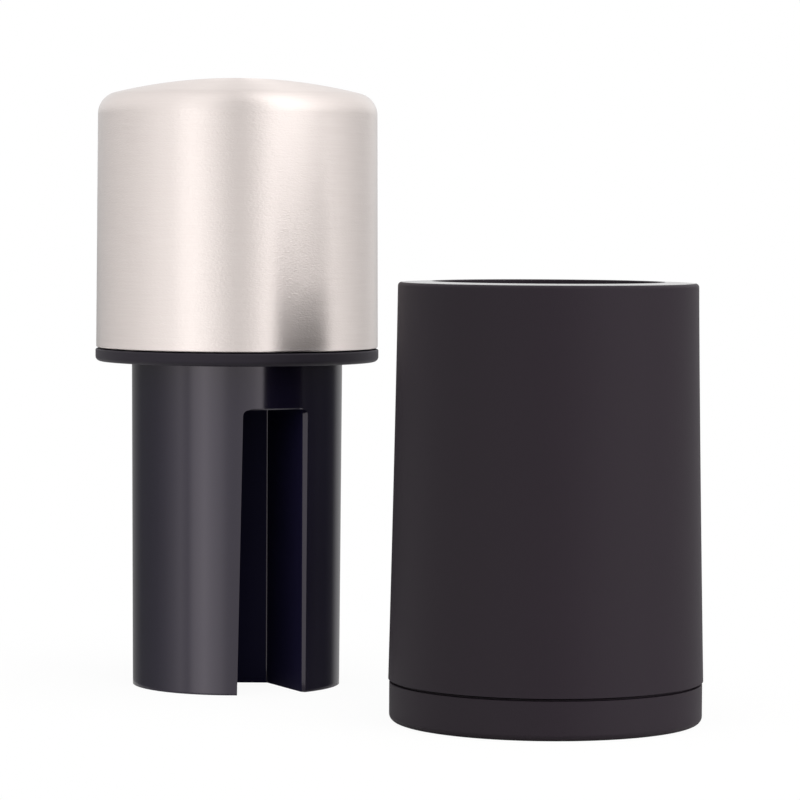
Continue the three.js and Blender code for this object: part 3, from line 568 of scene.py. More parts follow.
# The same coat where the seat ring rubs it smooth: seen from a low angle it mirrors the room
RUBBED_COAT = moulded(
    "Rubbed soft-touch coat", "#1b141b", "#1f181f", roughness=0.14, swing=0.02, grain=6.0,
    depth=0.01,
)
# Natural nylon of the hidden core: milky, and half matt
CORE_NYLON = moulded(
    "Natural nylon", "#c6c1b4", "#d4cfc4", roughness=0.5, swing=0.05, grain=0.6, depth=0.02
)
# Silicone rubber of the seal: dark grey, with a dull sheen
SILICONE = moulded(
    "Silicone rubber", "#343236", "#3c3a3f", roughness=0.55, swing=0.04, grain=0.4, depth=0.02
)
print("made", SOFT_TOUCH.name, "and three more")

# %% [markdown]
# ## Finishes: etched sheet and plated steel
#
# The blade is stainless sheet from which an acid has eaten the holes, which leaves it silky. The
# rivets and screws are steel with a thin zinc coat, a little blue and cloudy. A bare metal shows
# nothing but its colour and its gloss, so one noise that moves both is enough.

# %% Bare metals
METAL_SWING = 0.06


def cloudy_metal(name, colour, lighter, roughness, cloud_size):
    material, tree, shader = new_material(name, Metallic=1.0)
    place = add(tree, "ShaderNodeTexCoord")
    clouds = add(
        tree,
        "ShaderNodeTexNoise",
        {"Vector": place.outputs["Object"], "Scale": per_metre(cloud_size), "Detail": 5.0},
    )
    wandering(tree, shader, clouds.outputs["Fac"], colour, lighter, roughness, METAL_SWING)
    return material


ETCHED_STEEL = cloudy_metal(
    "Etched stainless sheet", "#bdbfc3", "#d0d2d5", roughness=0.5, cloud_size=1.5
)
ZINC = cloudy_metal("Zinc-plated steel", "#9ca2a8", "#b3b8bd", roughness=0.34, cloud_size=0.8)
print("made", ETCHED_STEEL.name, "and", ZINC.name)

# %% [markdown]
# ## The steel cap
#
# One drawn cup: a side with a slight draft, a rounded shoulder, and a shallow dome. The sheet is
# 0.8 mm thick and its mouth is rolled smooth, so that it doesn't cut the hand. A cylinder could be
# bevelled to this shape, but the dome and the draft come out exact when the whole section is drawn
# as one closed profile and turned about the head's axis.

# %% Steel cap: the section of its sheet
CAP_SHEET = 0.8
CAP_DRAFT = 0.3
CAP_CORNER_ROUND = 4.5
CAP_DOME_RADIUS = 105.0
CAP_MOUTH_RADIUS = (cap_high.x - cap_low.x) / 2
CAP_LIP_ROUND = 0.35


def cap_face(depth, corner_steps, dome_steps):
    """One face of the sheet, at a depth below the outer one, from the mouth to the pole."""
    centre_radius = CAP_MOUTH_RADIUS - CAP_DRAFT - CAP_CORNER_ROUND
    dome_centre = cap_high.z - CAP_DOME_RADIUS
    to_corner = CAP_DOME_RADIUS - CAP_CORNER_ROUND
    tilt = math.degrees(math.asin(centre_radius / to_corner))
    corner_centre = (centre_radius, dome_centre + to_corner * math.cos(math.radians(tilt)))
    corner = arc(corner_centre, CAP_CORNER_ROUND - depth, 0, 90 - tilt, corner_steps)
    dome = arc((0, dome_centre), CAP_DOME_RADIUS - depth, 90 - tilt, 90, dome_steps)
    mouth = (CAP_MOUTH_RADIUS - depth, cap_low.z + CAP_LIP_ROUND)
    side = list(zip(spread(mouth[0], corner[0][0], 6), spread(mouth[1], corner[0][1], 6)))
    return [*side, *corner[1:], *dome[1:]]


outer_face = cap_face(0, 20, 40)
inner_face = cap_face(CAP_SHEET, 12, 20)
lip_centre = (CAP_MOUTH_RADIUS - CAP_SHEET / 2, cap_low.z + CAP_LIP_ROUND)
lip = [
    (lip_centre[0] + CAP_SHEET / 2 * math.cos(math.radians(turn)),
     lip_centre[1] + CAP_LIP_ROUND * math.sin(math.radians(turn)))
    for turn in spread(180, 360, 12)
]
print("cap is", round(2 * CAP_MOUTH_RADIUS, 2), "mm across its mouth")

# %% Steel cap: its skin, and the UV map that the brushing follows
UV_HEIGHT = 100.0


def wrapped_uv(skin, axis):
    """A UV map that runs once around the axis and along the surface's height."""
    layer = skin.data.uv_layers.new(name="Around")
    for face in skin.data.polygons:
        points = [skin.data.vertices[index].co / MM for index in face.vertices]
        turns = [azimuth_of((p.x - axis[0], p.y - axis[1])) / 360 for p in points]
        for loop, point, turn in zip(face.loop_indices, points, turns):
            if turn - min(turns) > 0.5:
                turn -= 1
            radius = math.hypot(point.x - axis[0], point.y - axis[1])
            layer.data[loop].uv = (turn, (point.z - radius) / UV_HEIGHT)


steel_cap = sewn("steel_cap_skin", turned([*reversed(inner_face), *lip[1:-1], *outer_face], HEAD))
wrapped_uv(steel_cap, HEAD)
dressed(steel_cap, "head", "brushed_cap", ["steel_cap"], STEEL)

# %% [markdown]
# ## The seat ring
#
# A thick matt ring closes the head below the cap. It is trapped on the column's neck, rests on the
# rim when the mill is closed, and stays still while the head turns on it. Its lower edge is round,
# and a groove underneath saves plastic. It is turned from one profile, as the cap is: a torus has
# no groove, and a bevelled cylinder has the same round at both edges.

# %% Seat ring
RING_TOP_ROUND = 0.3
RING_BOTTOM_ROUND = 1.0
RING_BORE_RADIUS = 20.9
RING_GROOVE = (22.8, 25.8, 1.0)

ring_radius = (ring_high.x - ring_low.x) / 2
bottom_centre = (ring_radius - RING_BOTTOM_ROUND, ring_low.z + RING_BOTTOM_ROUND)
top_centre = (ring_radius - RING_TOP_ROUND, ring_high.z - RING_TOP_ROUND)
groove_inner, groove_outer, groove_depth = RING_GROOVE
ring_profile = [
    (RING_BORE_RADIUS, ring_low.z),
    (groove_inner, ring_low.z),
    (groove_inner, ring_low.z + groove_depth),
    (groove_outer, ring_low.z + groove_depth),
    (groove_outer, ring_low.z),
    *arc(bottom_centre, RING_BOTTOM_ROUND, -90, 0, 8),
    *arc(top_centre, RING_TOP_ROUND, 0, 90, 4),
    (RING_BORE_RADIUS, ring_high.z),
    (RING_BORE_RADIUS, ring_low.z),
]
seat_ring = sewn("seat_ring_skin", turned(ring_profile, HEAD))
dressed(seat_ring, "ring", "matte_ring", ["seat_ring"], MATT_ABS)

# %% [markdown]
# ## The column
#
# The column is the clever part. In plan it is a C: a thin shell with a slot, a flat panel behind
# the pocket, and a slanted panel on the right that pushes the nutmeg over the blade. That open
# section hardly changes with height, so it is lofted: the same outline at rising heights, with
# the slot's edges closing in along a small curve at the top. Above the slot the shell is a full
# round again, up to a shoulder and a neck for the ring. A small fillet in the pocket, a round nose
# on the pusher and a chamfer over the slot are drawn into the outline: they catch the thin
# highlights that tell gloss plastic from cut paper.

# %% The column's plan: its sizes and lines
COLUMN_DRAFT = 0.32
SHELL_WALL = 1.5
PANEL_THICKNESS = 1.5
COLUMN_FLOOR = 1.6
POCKET_CEILING = 2.0
NECK_RADIUS = 20.6
POCKET_BELOW_SHOULDER = 8.7
POCKET_CORNER = (6.45, -0.4)
POCKET_LEFT_AZIMUTH = -80.0
PUSHER_END_RADIUS, PUSHER_END_AZIMUTH = 20.26, 42.66
PUSHER_END = plan_point(PUSHER_END_RADIUS, PUSHER_END_AZIMUTH)
SLOT_LIP_TOP = 5.74
SLOT_LIP_BOTTOM = 3.0
SLOT_EDGE_TURN = 26.0
SLOT_CORNER_ROUND = 1.2
POCKET_FILLET = 0.25
# The pocket's painted shade stops this far short of the panels' inner corner, where the gloss
# finish shows a thin line of light
CORNER_GLINT_WIDTH = 0.3
PUSHER_NOSE = 0.5
SLOT_TOP_CHAMFER = 0.28

column_top_radius = (column_high.x - column_low.x) / 2
neck_top = column_high.z
shoulder = ring_low.z - SEAT_GAP
pocket_top = shoulder - POCKET_BELOW_SHOULDER
void_radius = NECK_RADIUS - SHELL_WALL


def angle_along(length, radius):
    """The angle that a length takes up along a circle."""
    return math.degrees(length / radius)


def column_radius(height):
    """Outer radius of the column: it narrows a little towards its foot."""
    return column_top_radius - COLUMN_DRAFT * (1 - height / shoulder)


def on_circle(start, direction, radius):
    """Where a line from a start point meets a circle about the axis, going forward."""
    along = start[0] * direction[0] + start[1] * direction[1]
    outside = start[0] ** 2 + start[1] ** 2 - radius**2
    reach = -along + math.sqrt(along**2 - outside)
    return (start[0] + direction[0] * reach, start[1] + direction[1] * reach)


def direction_between(start, end):
    length = math.hypot(end[0] - start[0], end[1] - start[1])
    return ((end[0] - start[0]) / length, (end[1] - start[1]) / length)


def points_between(start, end, steps):
    """Points of a straight stretch, without its end."""
    xs, ys = spread(start[0], end[0], steps), spread(start[1], end[1], steps)
    return list(zip(xs, ys))[:-1]


print("column", round(2 * column_top_radius, 2), "mm across and", round(neck_top, 2), "mm high")

# %% The column's plan: fillet, nose and hollow
HOLLOW_STEPS = 120

pusher_direction = direction_between(POCKET_CORNER, PUSHER_END)
edge_direction = (math.cos(math.radians(SLOT_EDGE_TURN)), -math.sin(math.radians(SLOT_EDGE_TURN)))

# The fillet where the panel turns into the pusher
pusher_turn = -math.degrees(math.atan2(pusher_direction[1], pusher_direction[0]))
fillet_start = POCKET_CORNER[0] - POCKET_FILLET * math.tan(math.radians(pusher_turn / 2))
fillet_centre = (fillet_start, POCKET_CORNER[1] - POCKET_FILLET)
pocket_fillet = arc(fillet_centre, POCKET_FILLET, 90, 90 - pusher_turn, 4)

# The pusher's nose, where it turns into the slot's right edge
nose_turn = pusher_turn - SLOT_EDGE_TURN
nose_reach = PUSHER_NOSE * math.tan(math.radians(nose_turn / 2))
nose_start = [PUSHER_END[i] - pusher_direction[i] * nose_reach for i in (0, 1)]
nose_centre = (
    nose_start[0] - pusher_direction[1] * PUSHER_NOSE,
    nose_start[1] + pusher_direction[0] * PUSHER_NOSE,
)
pusher_nose = arc(nose_centre, PUSHER_NOSE, -90 - pusher_turn, -90 - SLOT_EDGE_TURN, 3)

# The closed hollow behind the two panels: its corner, and where it meets the shell
panel_back = POCKET_CORNER[1] + PANEL_THICKNESS
pusher_back = (
    POCKET_CORNER[0] - pusher_direction[1] * PANEL_THICKNESS,
    POCKET_CORNER[1] + pusher_direction[0] * PANEL_THICKNESS,
)
to_corner = (panel_back - pusher_back[1]) / pusher_direction[1]
hollow_corner = (pusher_back[0] + pusher_direction[0] * to_corner, panel_back)
hollow_right = azimuth_of(on_circle(pusher_back, pusher_direction, void_radius))
hollow_left = azimuth_of(on_circle((0, panel_back), (-1, 0), void_radius)) + 360
print("hollow from azimuth", round(hollow_right, 1), "to", round(hollow_left, 1))

# %% The column's plan: its outline at a height
def column_section(height, inset):
    """The open C of the column at a height; the slot is narrower by an inset on both sides."""
    radius = column_radius(height)
    pocket_radius = column_radius(0) - SHELL_WALL
    share = min(height / (pocket_top - SLOT_CORNER_ROUND), 1)
    lip = SLOT_LIP_BOTTOM + (SLOT_LIP_TOP - SLOT_LIP_BOTTOM) * share + angle_along(inset, radius)
    edge = azimuth_of(on_circle(PUSHER_END, edge_direction, radius)) - angle_along(inset, radius)
    nose = []
    for x, y in pusher_nose:
        turn = azimuth_of((x, y)) - angle_along(inset, radius)
        nose.append(plan_point(math.hypot(x, y), turn))
    left = plan_point(pocket_radius, POCKET_LEFT_AZIMUTH)
    bevel = POCKET_CORNER[1] - left[1]
    back_left = (left[0] + bevel, POCKET_CORNER[1])
    lip_outside, lip_inside = plan_point(radius, lip), plan_point(pocket_radius, lip)
    line_start = (POCKET_CORNER[0] - CORNER_GLINT_WIDTH, POCKET_CORNER[1])
    outside = [plan_point(radius, azimuth) for azimuth in [
        *spread(edge, hollow_right, 6)[:-1],
        *spread(hollow_right, hollow_left, HOLLOW_STEPS)[:-1],
        *spread(hollow_left, 360 + lip, 90),
    ]]
    return outside, [
        *points_between(lip_outside, lip_inside, 2),
        *[plan_point(pocket_radius, azimuth) for azimuth in spread(lip, POCKET_LEFT_AZIMUTH, 44)],
        *points_between(back_left, line_start, 6),
        line_start,
        *pocket_fillet,
        *points_between(pocket_fillet[-1], pusher_nose[0], 6)[1:],
        pusher_nose[0],
        *nose[1:],
    ]


print("slot from", SLOT_LIP_TOP, "degrees; pocket", round(pocket_top, 2), "mm high")

# %% Column: shell, pocket and slot
SAME_AZIMUTH = 0.01
BOSS_IN_CEILING = 1.0


def at_height(points, height):
    """Plan points of the head, lifted to a height."""
    return [(HEAD[0] + x, HEAD[1] + y, height) for x, y in points]


def column_skin():
    corner_start = pocket_top - SLOT_CORNER_ROUND
    levels = [(height, 0.0) for height in spread(0, corner_start, 12)]
    for turn in spread(0, 90, 6)[1:]:
        inset = SLOT_CORNER_ROUND * (1 - math.cos(math.radians(turn)))
        levels.append((corner_start + SLOT_CORNER_ROUND * math.sin(math.radians(turn)), inset))
    rows = []
    for height, inset in levels:
        outside, inside = column_section(height, inset)
        rows.append(at_height([*outside, *inside[1:]], height))
    faces = grid(rows, closed=True)
    faces.append(tuple(rows[0]))

    # The slot's upper edge is a narrow chamfer, which runs out at both of its corners
    outside, inside = column_section(*levels[-1])
    lip, edge = azimuth_of(outside[-1]), azimuth_of(outside[0])
    top_radius, gap_turns = column_radius(pocket_top), spread(lip, edge, 24)
    inner_radius, chamfer_top = top_radius - SLOT_TOP_CHAMFER, pocket_top + SLOT_TOP_CHAMFER
    ends = [plan_point(top_radius, turn) for turn in (lip, edge)]
    inner_gap = [ends[0], *[plan_point(inner_radius, a) for a in gap_turns[1:-1]], ends[1]]
    outer_gap = [plan_point(top_radius, a) for a in gap_turns]
    faces.append(tuple(at_height([*inside, *reversed(inner_gap[1:])], pocket_top)))
    upper = at_height(outer_gap, chamfer_top)
    upper[0], upper[-1] = at_height(ends, pocket_top)
    faces.extend(grid([at_height(inner_gap, pocket_top), upper]))

    azimuths = [azimuth_of(point) for point in [*outside, *outer_gap[1:-1]]]
    ring_levels = [(column_radius(z), z) for z in spread(chamfer_top, shoulder, 3)]
    neck = [(NECK_RADIUS, shoulder), (NECK_RADIUS, neck_top), (void_radius, neck_top)]
    neck.append((void_radius, ceiling_top))
    neck_rows = [[*at_height(outside, pocket_top), *upper[1:-1]]]
    for radius, height in [*ring_levels[1:], *neck]:
        neck_rows.append(at_height([plan_point(radius, a) for a in azimuths], height))
    return faces + grid(neck_rows, closed=True) + hollow_faces(azimuths)


def hollow_faces(azimuths):
    """Floor of the neck over the pocket, and the hollow behind the panels, down to its floor."""
    turns = [azimuth % 360 for azimuth in azimuths]
    right, left = hollow_right, hollow_left
    back = [a for a in turns if right - SAME_AZIMUTH < a < left + SAME_AZIMUTH]
    front = [a for a in turns if a > left - SAME_AZIMUTH or a < right + SAME_AZIMUTH]
    front.sort(key=lambda azimuth: (azimuth + 180) % 360)
    hollow = [*[plan_point(void_radius, a) for a in back], hollow_corner]
    over_pocket = [*[plan_point(void_radius, a) for a in front], hollow_corner]
    rows = [at_height(hollow, height) for height in spread(COLUMN_FLOOR, ceiling_top, 4)]
    floor = tuple(at_height(over_pocket, ceiling_top))
    return [*grid(rows, closed=True), tuple(rows[0]), floor]


def inside_pocket(face):
    """True on the pocket's panels and on the shell's inner face, which get the painted shade, but
    not in the panels' corner.
    """
    point = face.center / MM
    x, y = point.x - HEAD[0], point.y - HEAD[1]
    near_corner = math.hypot(x - POCKET_CORNER[0], y - POCKET_CORNER[1]) < CORNER_GLINT_WIDTH
    inside = math.hypot(x, y) < column_radius(0) - SHELL_WALL / 2
    return 0 < point.z < ceiling_top - BOSS_IN_CEILING and inside and not near_corner


ceiling_top = pocket_top + POCKET_CEILING
column = sewn("column_skin", column_skin())
print("column shell has", len(column.data.polygons), "faces")

# %% [markdown]
# ## Joining and cutting
#
# A real mould forms bosses, ribs and holes in one go. Here each of them is a small shape of its own
# that a Boolean modifier joins to the skin or cuts out of it, which is easier than to weave them
# into the patches. Once it is whole, a piece may get a second finish on some of its faces: painted
# shade in the column's pocket, or a smoother coat where it is rubbed.

# %% Joining, cutting, and two finishes on one piece
def combined(skin, tool, operation):
    """Joins a tool shape to a skin (UNION) or cuts it out (DIFFERENCE), and drops the tool."""
    boolean = skin.modifiers.new(operation.title(), "BOOLEAN")
    boolean.operation = operation
    boolean.solver = "EXACT"
    boolean.object = tool
    baked(skin)
    bpy.data.objects.remove(tool)
    smooth(skin)
    return skin


def two_finishes(skin, main, other, is_other):
    """Gives a skin two materials; the second goes on every face that passes the test."""
    skin.data.materials.clear()
    for material in (main, other):
        skin.data.materials.append(material)
    for face in skin.data.polygons:
        face.material_index = int(is_other(face))


# %% Column: the bosses for its screws
HEAD_SCREW_AZIMUTHS = (75.0, 120.0)
HEAD_SCREW_SHANK = 1.0
HEAD_SCREW_LENGTH = 9.5
HEAD_SCREW_HEAD = (2.4, 1.6)
COLUMN_BOSS_RADIUS = 2.7
COLUMN_BOSS_IN_WALL = 0.4
BOSS_BELOW_NECK = 0.2
HOLE_CLEARANCE = 0.28
PILOT_END_GAP = 0.6

head_screw_circle = void_radius + COLUMN_BOSS_IN_WALL - COLUMN_BOSS_RADIUS
head_screw_seat = corners("column_screw_1")[1].z - HEAD_SCREW_HEAD[1]
pilot = HEAD_SCREW_SHANK + HOLE_CLEARANCE
pilot_low = head_screw_seat - HEAD_SCREW_LENGTH - PILOT_END_GAP
boss_foot, boss_top = ceiling_top - BOSS_IN_CEILING, neck_top - BOSS_BELOW_NECK
boss_profile = [
    (0, boss_foot),
    (COLUMN_BOSS_RADIUS, boss_foot),
    (COLUMN_BOSS_RADIUS, boss_top),
    (pilot, boss_top),
    (pilot, pilot_low),
    (0, pilot_low),
]
bosses = sewn("column_bosses", turned(boss_profile, ORIGIN, 48))
set_around(bosses, 3, *HEAD_SCREW_AZIMUTHS, GLOSS_ABS, head_screw_circle, axis=HEAD)
combined(column, bosses, "UNION")
# The pocket's faces get painted shade: a darker, nearly unreflective copy of the column's ABS
two_finishes(column, GLOSS_ABS, POCKET_SHADE_ABS, inside_pocket)
dressed(column, "head", "gloss_abs", ["chamber_column"])

# %% [markdown]
# ## The mill body
#
# A flared shell with a soft-touch coat. Its outline is a gentle power curve, wider at the foot,
# and its rim has a small radius. From the rim a deck, rubbed smooth by the ring, rises very
# slightly to the bore for the column: from the front it is seen almost edge-on, mirrors the white
# room and shows as a white line. Below the deck a collar holds the sleeve. All of it is round, so
# all of it is one turned profile. The front stays bare.

# %% Mill body: its profile
BODY_FLARE_POWER = 1.2
BODY_WALL = 1.94
RIM_ROUND = 0.7
DECK_THICKNESS = 3.5
DECK_RISE = 0.2
DECK_CHAMFER = 0.2
NEARLY_UP = 0.9
COLLAR_WALL = 1.2
COLLAR_DEPTH = 4.0
BODY_TOP_RADIUS = 28.6
SLEEVE_WALL = 1.8

body_foot_radius = body_high.x
bore_radius = sleeve_high.y - SLEEVE_WALL
deck_underside = body_high.z - DECK_THICKNESS


def body_radius(height):
    """Outside radius of the body."""
    down = (body_high.z - height) / (body_high.z - body_low.z)
    return BODY_TOP_RADIUS + (body_foot_radius - BODY_TOP_RADIUS) * down**BODY_FLARE_POWER


def body_profile():
    rim_centre = (BODY_TOP_RADIUS - RIM_ROUND, body_high.z - RIM_ROUND)
    collar = sleeve_high.y + SEAT_GAP
    outside = [(body_radius(z), z) for z in spread(body_low.z, body_high.z - RIM_ROUND, 24)]
    inside = [(body_radius(z) - BODY_WALL, z) for z in spread(deck_underside, body_low.z, 16)]
    return [
        *outside,
        *arc(rim_centre, RIM_ROUND, 0, 90, 5)[1:],
        (bore_radius + DECK_CHAMFER, body_high.z + DECK_RISE),
        (bore_radius, body_high.z + DECK_RISE - DECK_CHAMFER),
        (bore_radius, deck_underside),
        (collar, deck_underside),
        (collar, deck_underside - COLLAR_DEPTH),
        (collar + COLLAR_WALL, deck_underside - COLLAR_DEPTH),
        (collar + COLLAR_WALL, deck_underside),
        *inside,
        outside[0],
    ]


def on_deck(face):
    """True on the slightly raised deck inside the rim, but not on the bore's chamfer."""
    return face.center.z > body_high.z * MM and face.normal.z > NEARLY_UP


outer_body = sewn("outer_body_skin", turned(body_profile(), MILL))
print("body shell has", len(outer_body.data.polygons), "faces")

# %% Upright blocks, posts and tongues
def block(outline, low, high):
    """An upright block with a plan outline, between two heights."""
    rows = [[(x, y, height) for x, y in outline] for height in (low, high)]
    return [*grid(rows, closed=True), tuple(rows[0]), tuple(rows[1])]


def post(radius, low, high, steps=32):
    """An upright round post on the Z axis."""
    return turned([(0, low), (radius, low), (radius, high), (0, high)], ORIGIN, steps)


def tongue(width, square_end, round_end, corner):
    """Plan outline of a bar that lies along -Y between two radii, with rounded corners at one."""
    half = width / 2
    toward = 1 if round_end < square_end else -1
    centre_y = -round_end - toward * corner
    return [
        (half, -square_end),
        *arc((half - corner, centre_y), corner, 0, 90 * toward, 6),
        *arc((corner - half, centre_y), corner, 90 * toward, 180 * toward, 6),
        (-half, -square_end),
    ]


print("a post has", len(post(1.0, 0.0, 1.0)), "faces")

# %% Mill body: the bosses for its screws
BOSS_WIDTH = 5.2
BOSS_HEIGHT = 9.5
BOSS_CORNER = 0.8
SLEEVE_FLOOR = 2.0
SLEEVE_SCREW_AZIMUTHS = (0.0, 120.0)
SLEEVE_SCREW_SHANK = 0.9
SLEEVE_SCREW_LENGTH = 8.6
SLEEVE_SCREW_HEAD = (1.7, 1.4)
SLEEVE_SCREW_IN_BOSS = 1.8

sleeve_radius = sleeve_high.y
floor_top = sleeve_low.z + SLEEVE_FLOOR
boss_inner = sleeve_radius + SEAT_GAP
boss_low = floor_top + SEAT_GAP
boss_high = boss_low + BOSS_HEIGHT
boss_outer = body_radius(boss_high) - BODY_WALL / 2
sleeve_screw_circle = boss_inner + SLEEVE_SCREW_IN_BOSS
sleeve_screw_seat = sleeve_low.z - SEAT_GAP
sleeve_screw_hole = SLEEVE_SCREW_SHANK + HOLE_CLEARANCE

boss_outline = tongue(BOSS_WIDTH, boss_outer, boss_inner, BOSS_CORNER)
bosses = sewn("body_bosses", block(boss_outline, boss_low, boss_high))
set_around(bosses, 3, *SLEEVE_SCREW_AZIMUTHS, SOFT_TOUCH)
pilot_high = sleeve_screw_seat + SLEEVE_SCREW_LENGTH + PILOT_END_GAP
pilots = sewn("body_pilots", post(sleeve_screw_hole, sleeve_low.z, pilot_high))
set_around(pilots, 3, *SLEEVE_SCREW_AZIMUTHS, SOFT_TOUCH, sleeve_screw_circle)
combined(outer_body, bosses, "UNION")
combined(outer_body, pilots, "DIFFERENCE")
two_finishes(outer_body, SOFT_TOUCH, RUBBED_COAT, on_deck)
dressed(outer_body, "mill_body", "soft_touch", ["outer_body"])

# %% [markdown]
# ## The base cap and its seal
#
# A shallow cup in the same soft-touch finish. A dark seam, half a millimetre high and almost one
# deep, parts it from the body. Its spigot reaches up into the body and a silicone ring in a groove
# holds it there by friction. Both are round, so both are turned, and every step of the spigot is
# simply a point of the profile.

# %% Base cap and seal
BASE_HEIGHT = 7.5
BASE_EDGE_ROUND = 1.3
BASE_FLOOR = 2.2
BASE_CORNER_FILLET = 1.5
FOOT_GROOVE = (22.2, 23.8, 0.6)
SPIGOT_WALL = 2.4
SPIGOT_LEAD = 0.5
SEAM_DEPTH = 0.9
SEAM_SEAT_HEIGHT = 0.2
BASE_TOP_ROUND = 0.2
SEAL_SECTION_RADIUS = 0.5
SEAL_GROOVE_GAP = 0.15

seal_height = middle("seal_ring").z
seal_radius = corners("seal_ring")[1].x - SEAL_SECTION_RADIUS


def base_profile():
    radius = base_high.x
    spigot = body_foot_radius - BODY_WALL - SEAT_GAP
    cup = spigot - SPIGOT_WALL
    groove_radius = seal_radius - SEAL_SECTION_RADIUS - SEAL_GROOVE_GAP
    groove_half = SEAL_SECTION_RADIUS + SEAT_GAP
    edge_centre = (radius - BASE_EDGE_ROUND, BASE_EDGE_ROUND)
    top_centre = (radius - BASE_TOP_ROUND, BASE_HEIGHT - BASE_TOP_ROUND)
    fillet_centre = (cup - BASE_CORNER_FILLET, BASE_FLOOR + BASE_CORNER_FILLET)
    foot_inner, foot_outer, foot_depth = FOOT_GROOVE
    return [
        (0, 0),
        (foot_inner, 0),
        (foot_inner, foot_depth),
        (foot_outer, foot_depth),
        (foot_outer, 0),
        *arc(edge_centre, BASE_EDGE_ROUND, -90, 0, 12),
        *arc(top_centre, BASE_TOP_ROUND, 0, 90, 4),
        (radius - SEAM_DEPTH, BASE_HEIGHT),
        (radius - SEAM_DEPTH, BASE_HEIGHT + SEAM_SEAT_HEIGHT),
        (spigot, BASE_HEIGHT + SEAM_SEAT_HEIGHT),
        (spigot, seal_height - groove_half),
        (groove_radius, seal_height - groove_half),
        (groove_radius, seal_height + groove_half),
        (spigot, seal_height + groove_half),
        (spigot, base_high.z - SPIGOT_LEAD),
        (spigot - SPIGOT_LEAD, base_high.z),
        (cup, base_high.z),
        *arc(fillet_centre, BASE_CORNER_FILLET, 0, -90, 8),
        (0, BASE_FLOOR),
    ]


base_cap = sewn("base_cap_skin", turned(base_profile(), MILL))
dressed(base_cap, "base", "soft_touch", ["base_cap"], SOFT_TOUCH)

seal_section = arc((seal_radius, seal_height), SEAL_SECTION_RADIUS, 0, 360, 16)
seal_ring = sewn("seal_ring_skin", turned(seal_section, MILL))
dressed(seal_ring, "base", "silicone", ["seal_ring"], SILICONE)

# %% [markdown]
# ## The sleeve
#
# The sleeve is the cup that guides the column inside the body. Behind the blade it has a barred
# window that lets the powder fall, and a shallow recess so the blade lies flush. A wall with
# openings is easy as a grid of cells: each cell knows its inner radius, or that it is open, and a
# face is made wherever a cell meets a different one. Lugs are then joined on and holes are drilled.

# %% Sizes of the blade and of its window
TOOTH_PITCH_ANGLE = 11.8
TEETH_PER_ROW = 11
ROW_PAIRS = 5
BLADE_SIDE_MARGIN_ANGLE = 7.0
BLADE_END_MARGIN = 2.2
BLADE_THICKNESS = 0.35
RIVET_RADIUS = 0.55
RIVET_END_MARGIN = 3.2
WINDOW_BAR_WIDTH = 2.6
WINDOW_PANES = 3

blade_radius = bore_radius + SEAT_GAP
field_angle = TEETH_PER_ROW * TOOTH_PITCH_ANGLE
blade_half_angle = field_angle / 2 + BLADE_SIDE_MARGIN_ANGLE
field_low, field_high = blade_low.z + BLADE_END_MARGIN, blade_high.z - BLADE_END_MARGIN
row_pitch = (field_high - field_low) / (2 * ROW_PAIRS)
rivet_azimuth = (field_angle + BLADE_SIDE_MARGIN_ANGLE) / 2
rivet_low = blade_low.z + RIVET_END_MARGIN
rivet_pitch = (blade_high.z - RIVET_END_MARGIN - rivet_low) / 2
rivet_rings = {"low": rivet_low, "rings": 3, "pitch": rivet_pitch}
print("blade over", round(2 * blade_half_angle, 1), "degrees")
print("rows of teeth", round(row_pitch, 2), "mm apart")

# %% Sleeve: the lines between its cells
LINE_STEP_ANGLE = 2.5


def panes(low, high, bar):
    """Start and end of equal panes between two limits, with bars between them."""
    size = (high - low - (WINDOW_PANES - 1) * bar) / WINDOW_PANES
    return [(low + i * (size + bar), low + i * (size + bar) + size) for i in range(WINDOW_PANES)]


def lines_through(stops, largest_step):
    """Lines at all the stops, and evenly between them so that none are far apart."""
    lines = []
    for start, end in zip(stops, stops[1:]):
        lines.extend(spread(start, end, math.ceil((end - start) / largest_step))[:-1])
    return [*lines, stops[-1]]


def within(value, ranges):
    return any(low < value < high for low, high in ranges)


bar_angle = angle_along(WINDOW_BAR_WIDTH, sleeve_radius)
panes_across = panes(-field_angle / 2, field_angle / 2, bar_angle)
panes_up = panes(field_low, field_high, WINDOW_BAR_WIDTH)
recess_radius = blade_radius + BLADE_THICKNESS + SEAT_GAP
recess_half = blade_half_angle + angle_along(SEAT_GAP, bore_radius)
recess_up = (blade_low.z - SEAT_GAP, blade_high.z + SEAT_GAP)
side_stops = [-recess_half, *sum(panes_across, ()), recess_half, 360 - recess_half]
azimuth_lines = lines_through(side_stops, LINE_STEP_ANGLE)[:-1]
height_lines = sorted([floor_top, sleeve_high.z, *recess_up, *sum(panes_up, ())])
print("sleeve wall has", len(azimuth_lines), "by", len(height_lines) - 1, "cells")

# %% Sleeve: a wall made of cells
def cell_radius(i, j):
    """Inner radius of a cell of the wall, or None where there is no wall."""
    if j == len(height_lines) - 1:
        return None
    lines = [*azimuth_lines, 360 - recess_half]
    i %= len(azimuth_lines)
    azimuth = (lines[i] + lines[i + 1]) / 2
    height = (height_lines[j] + height_lines[j + 1]) / 2
    if within(azimuth, panes_across) and within(height, panes_up):
        return None
    recessed = azimuth < recess_half and within(height, [recess_up])
    return recess_radius if recessed else bore_radius


def cell_point(radius, i, j):
    return (*plan_point(radius, azimuth_lines[i % len(azimuth_lines)]), height_lines[j])


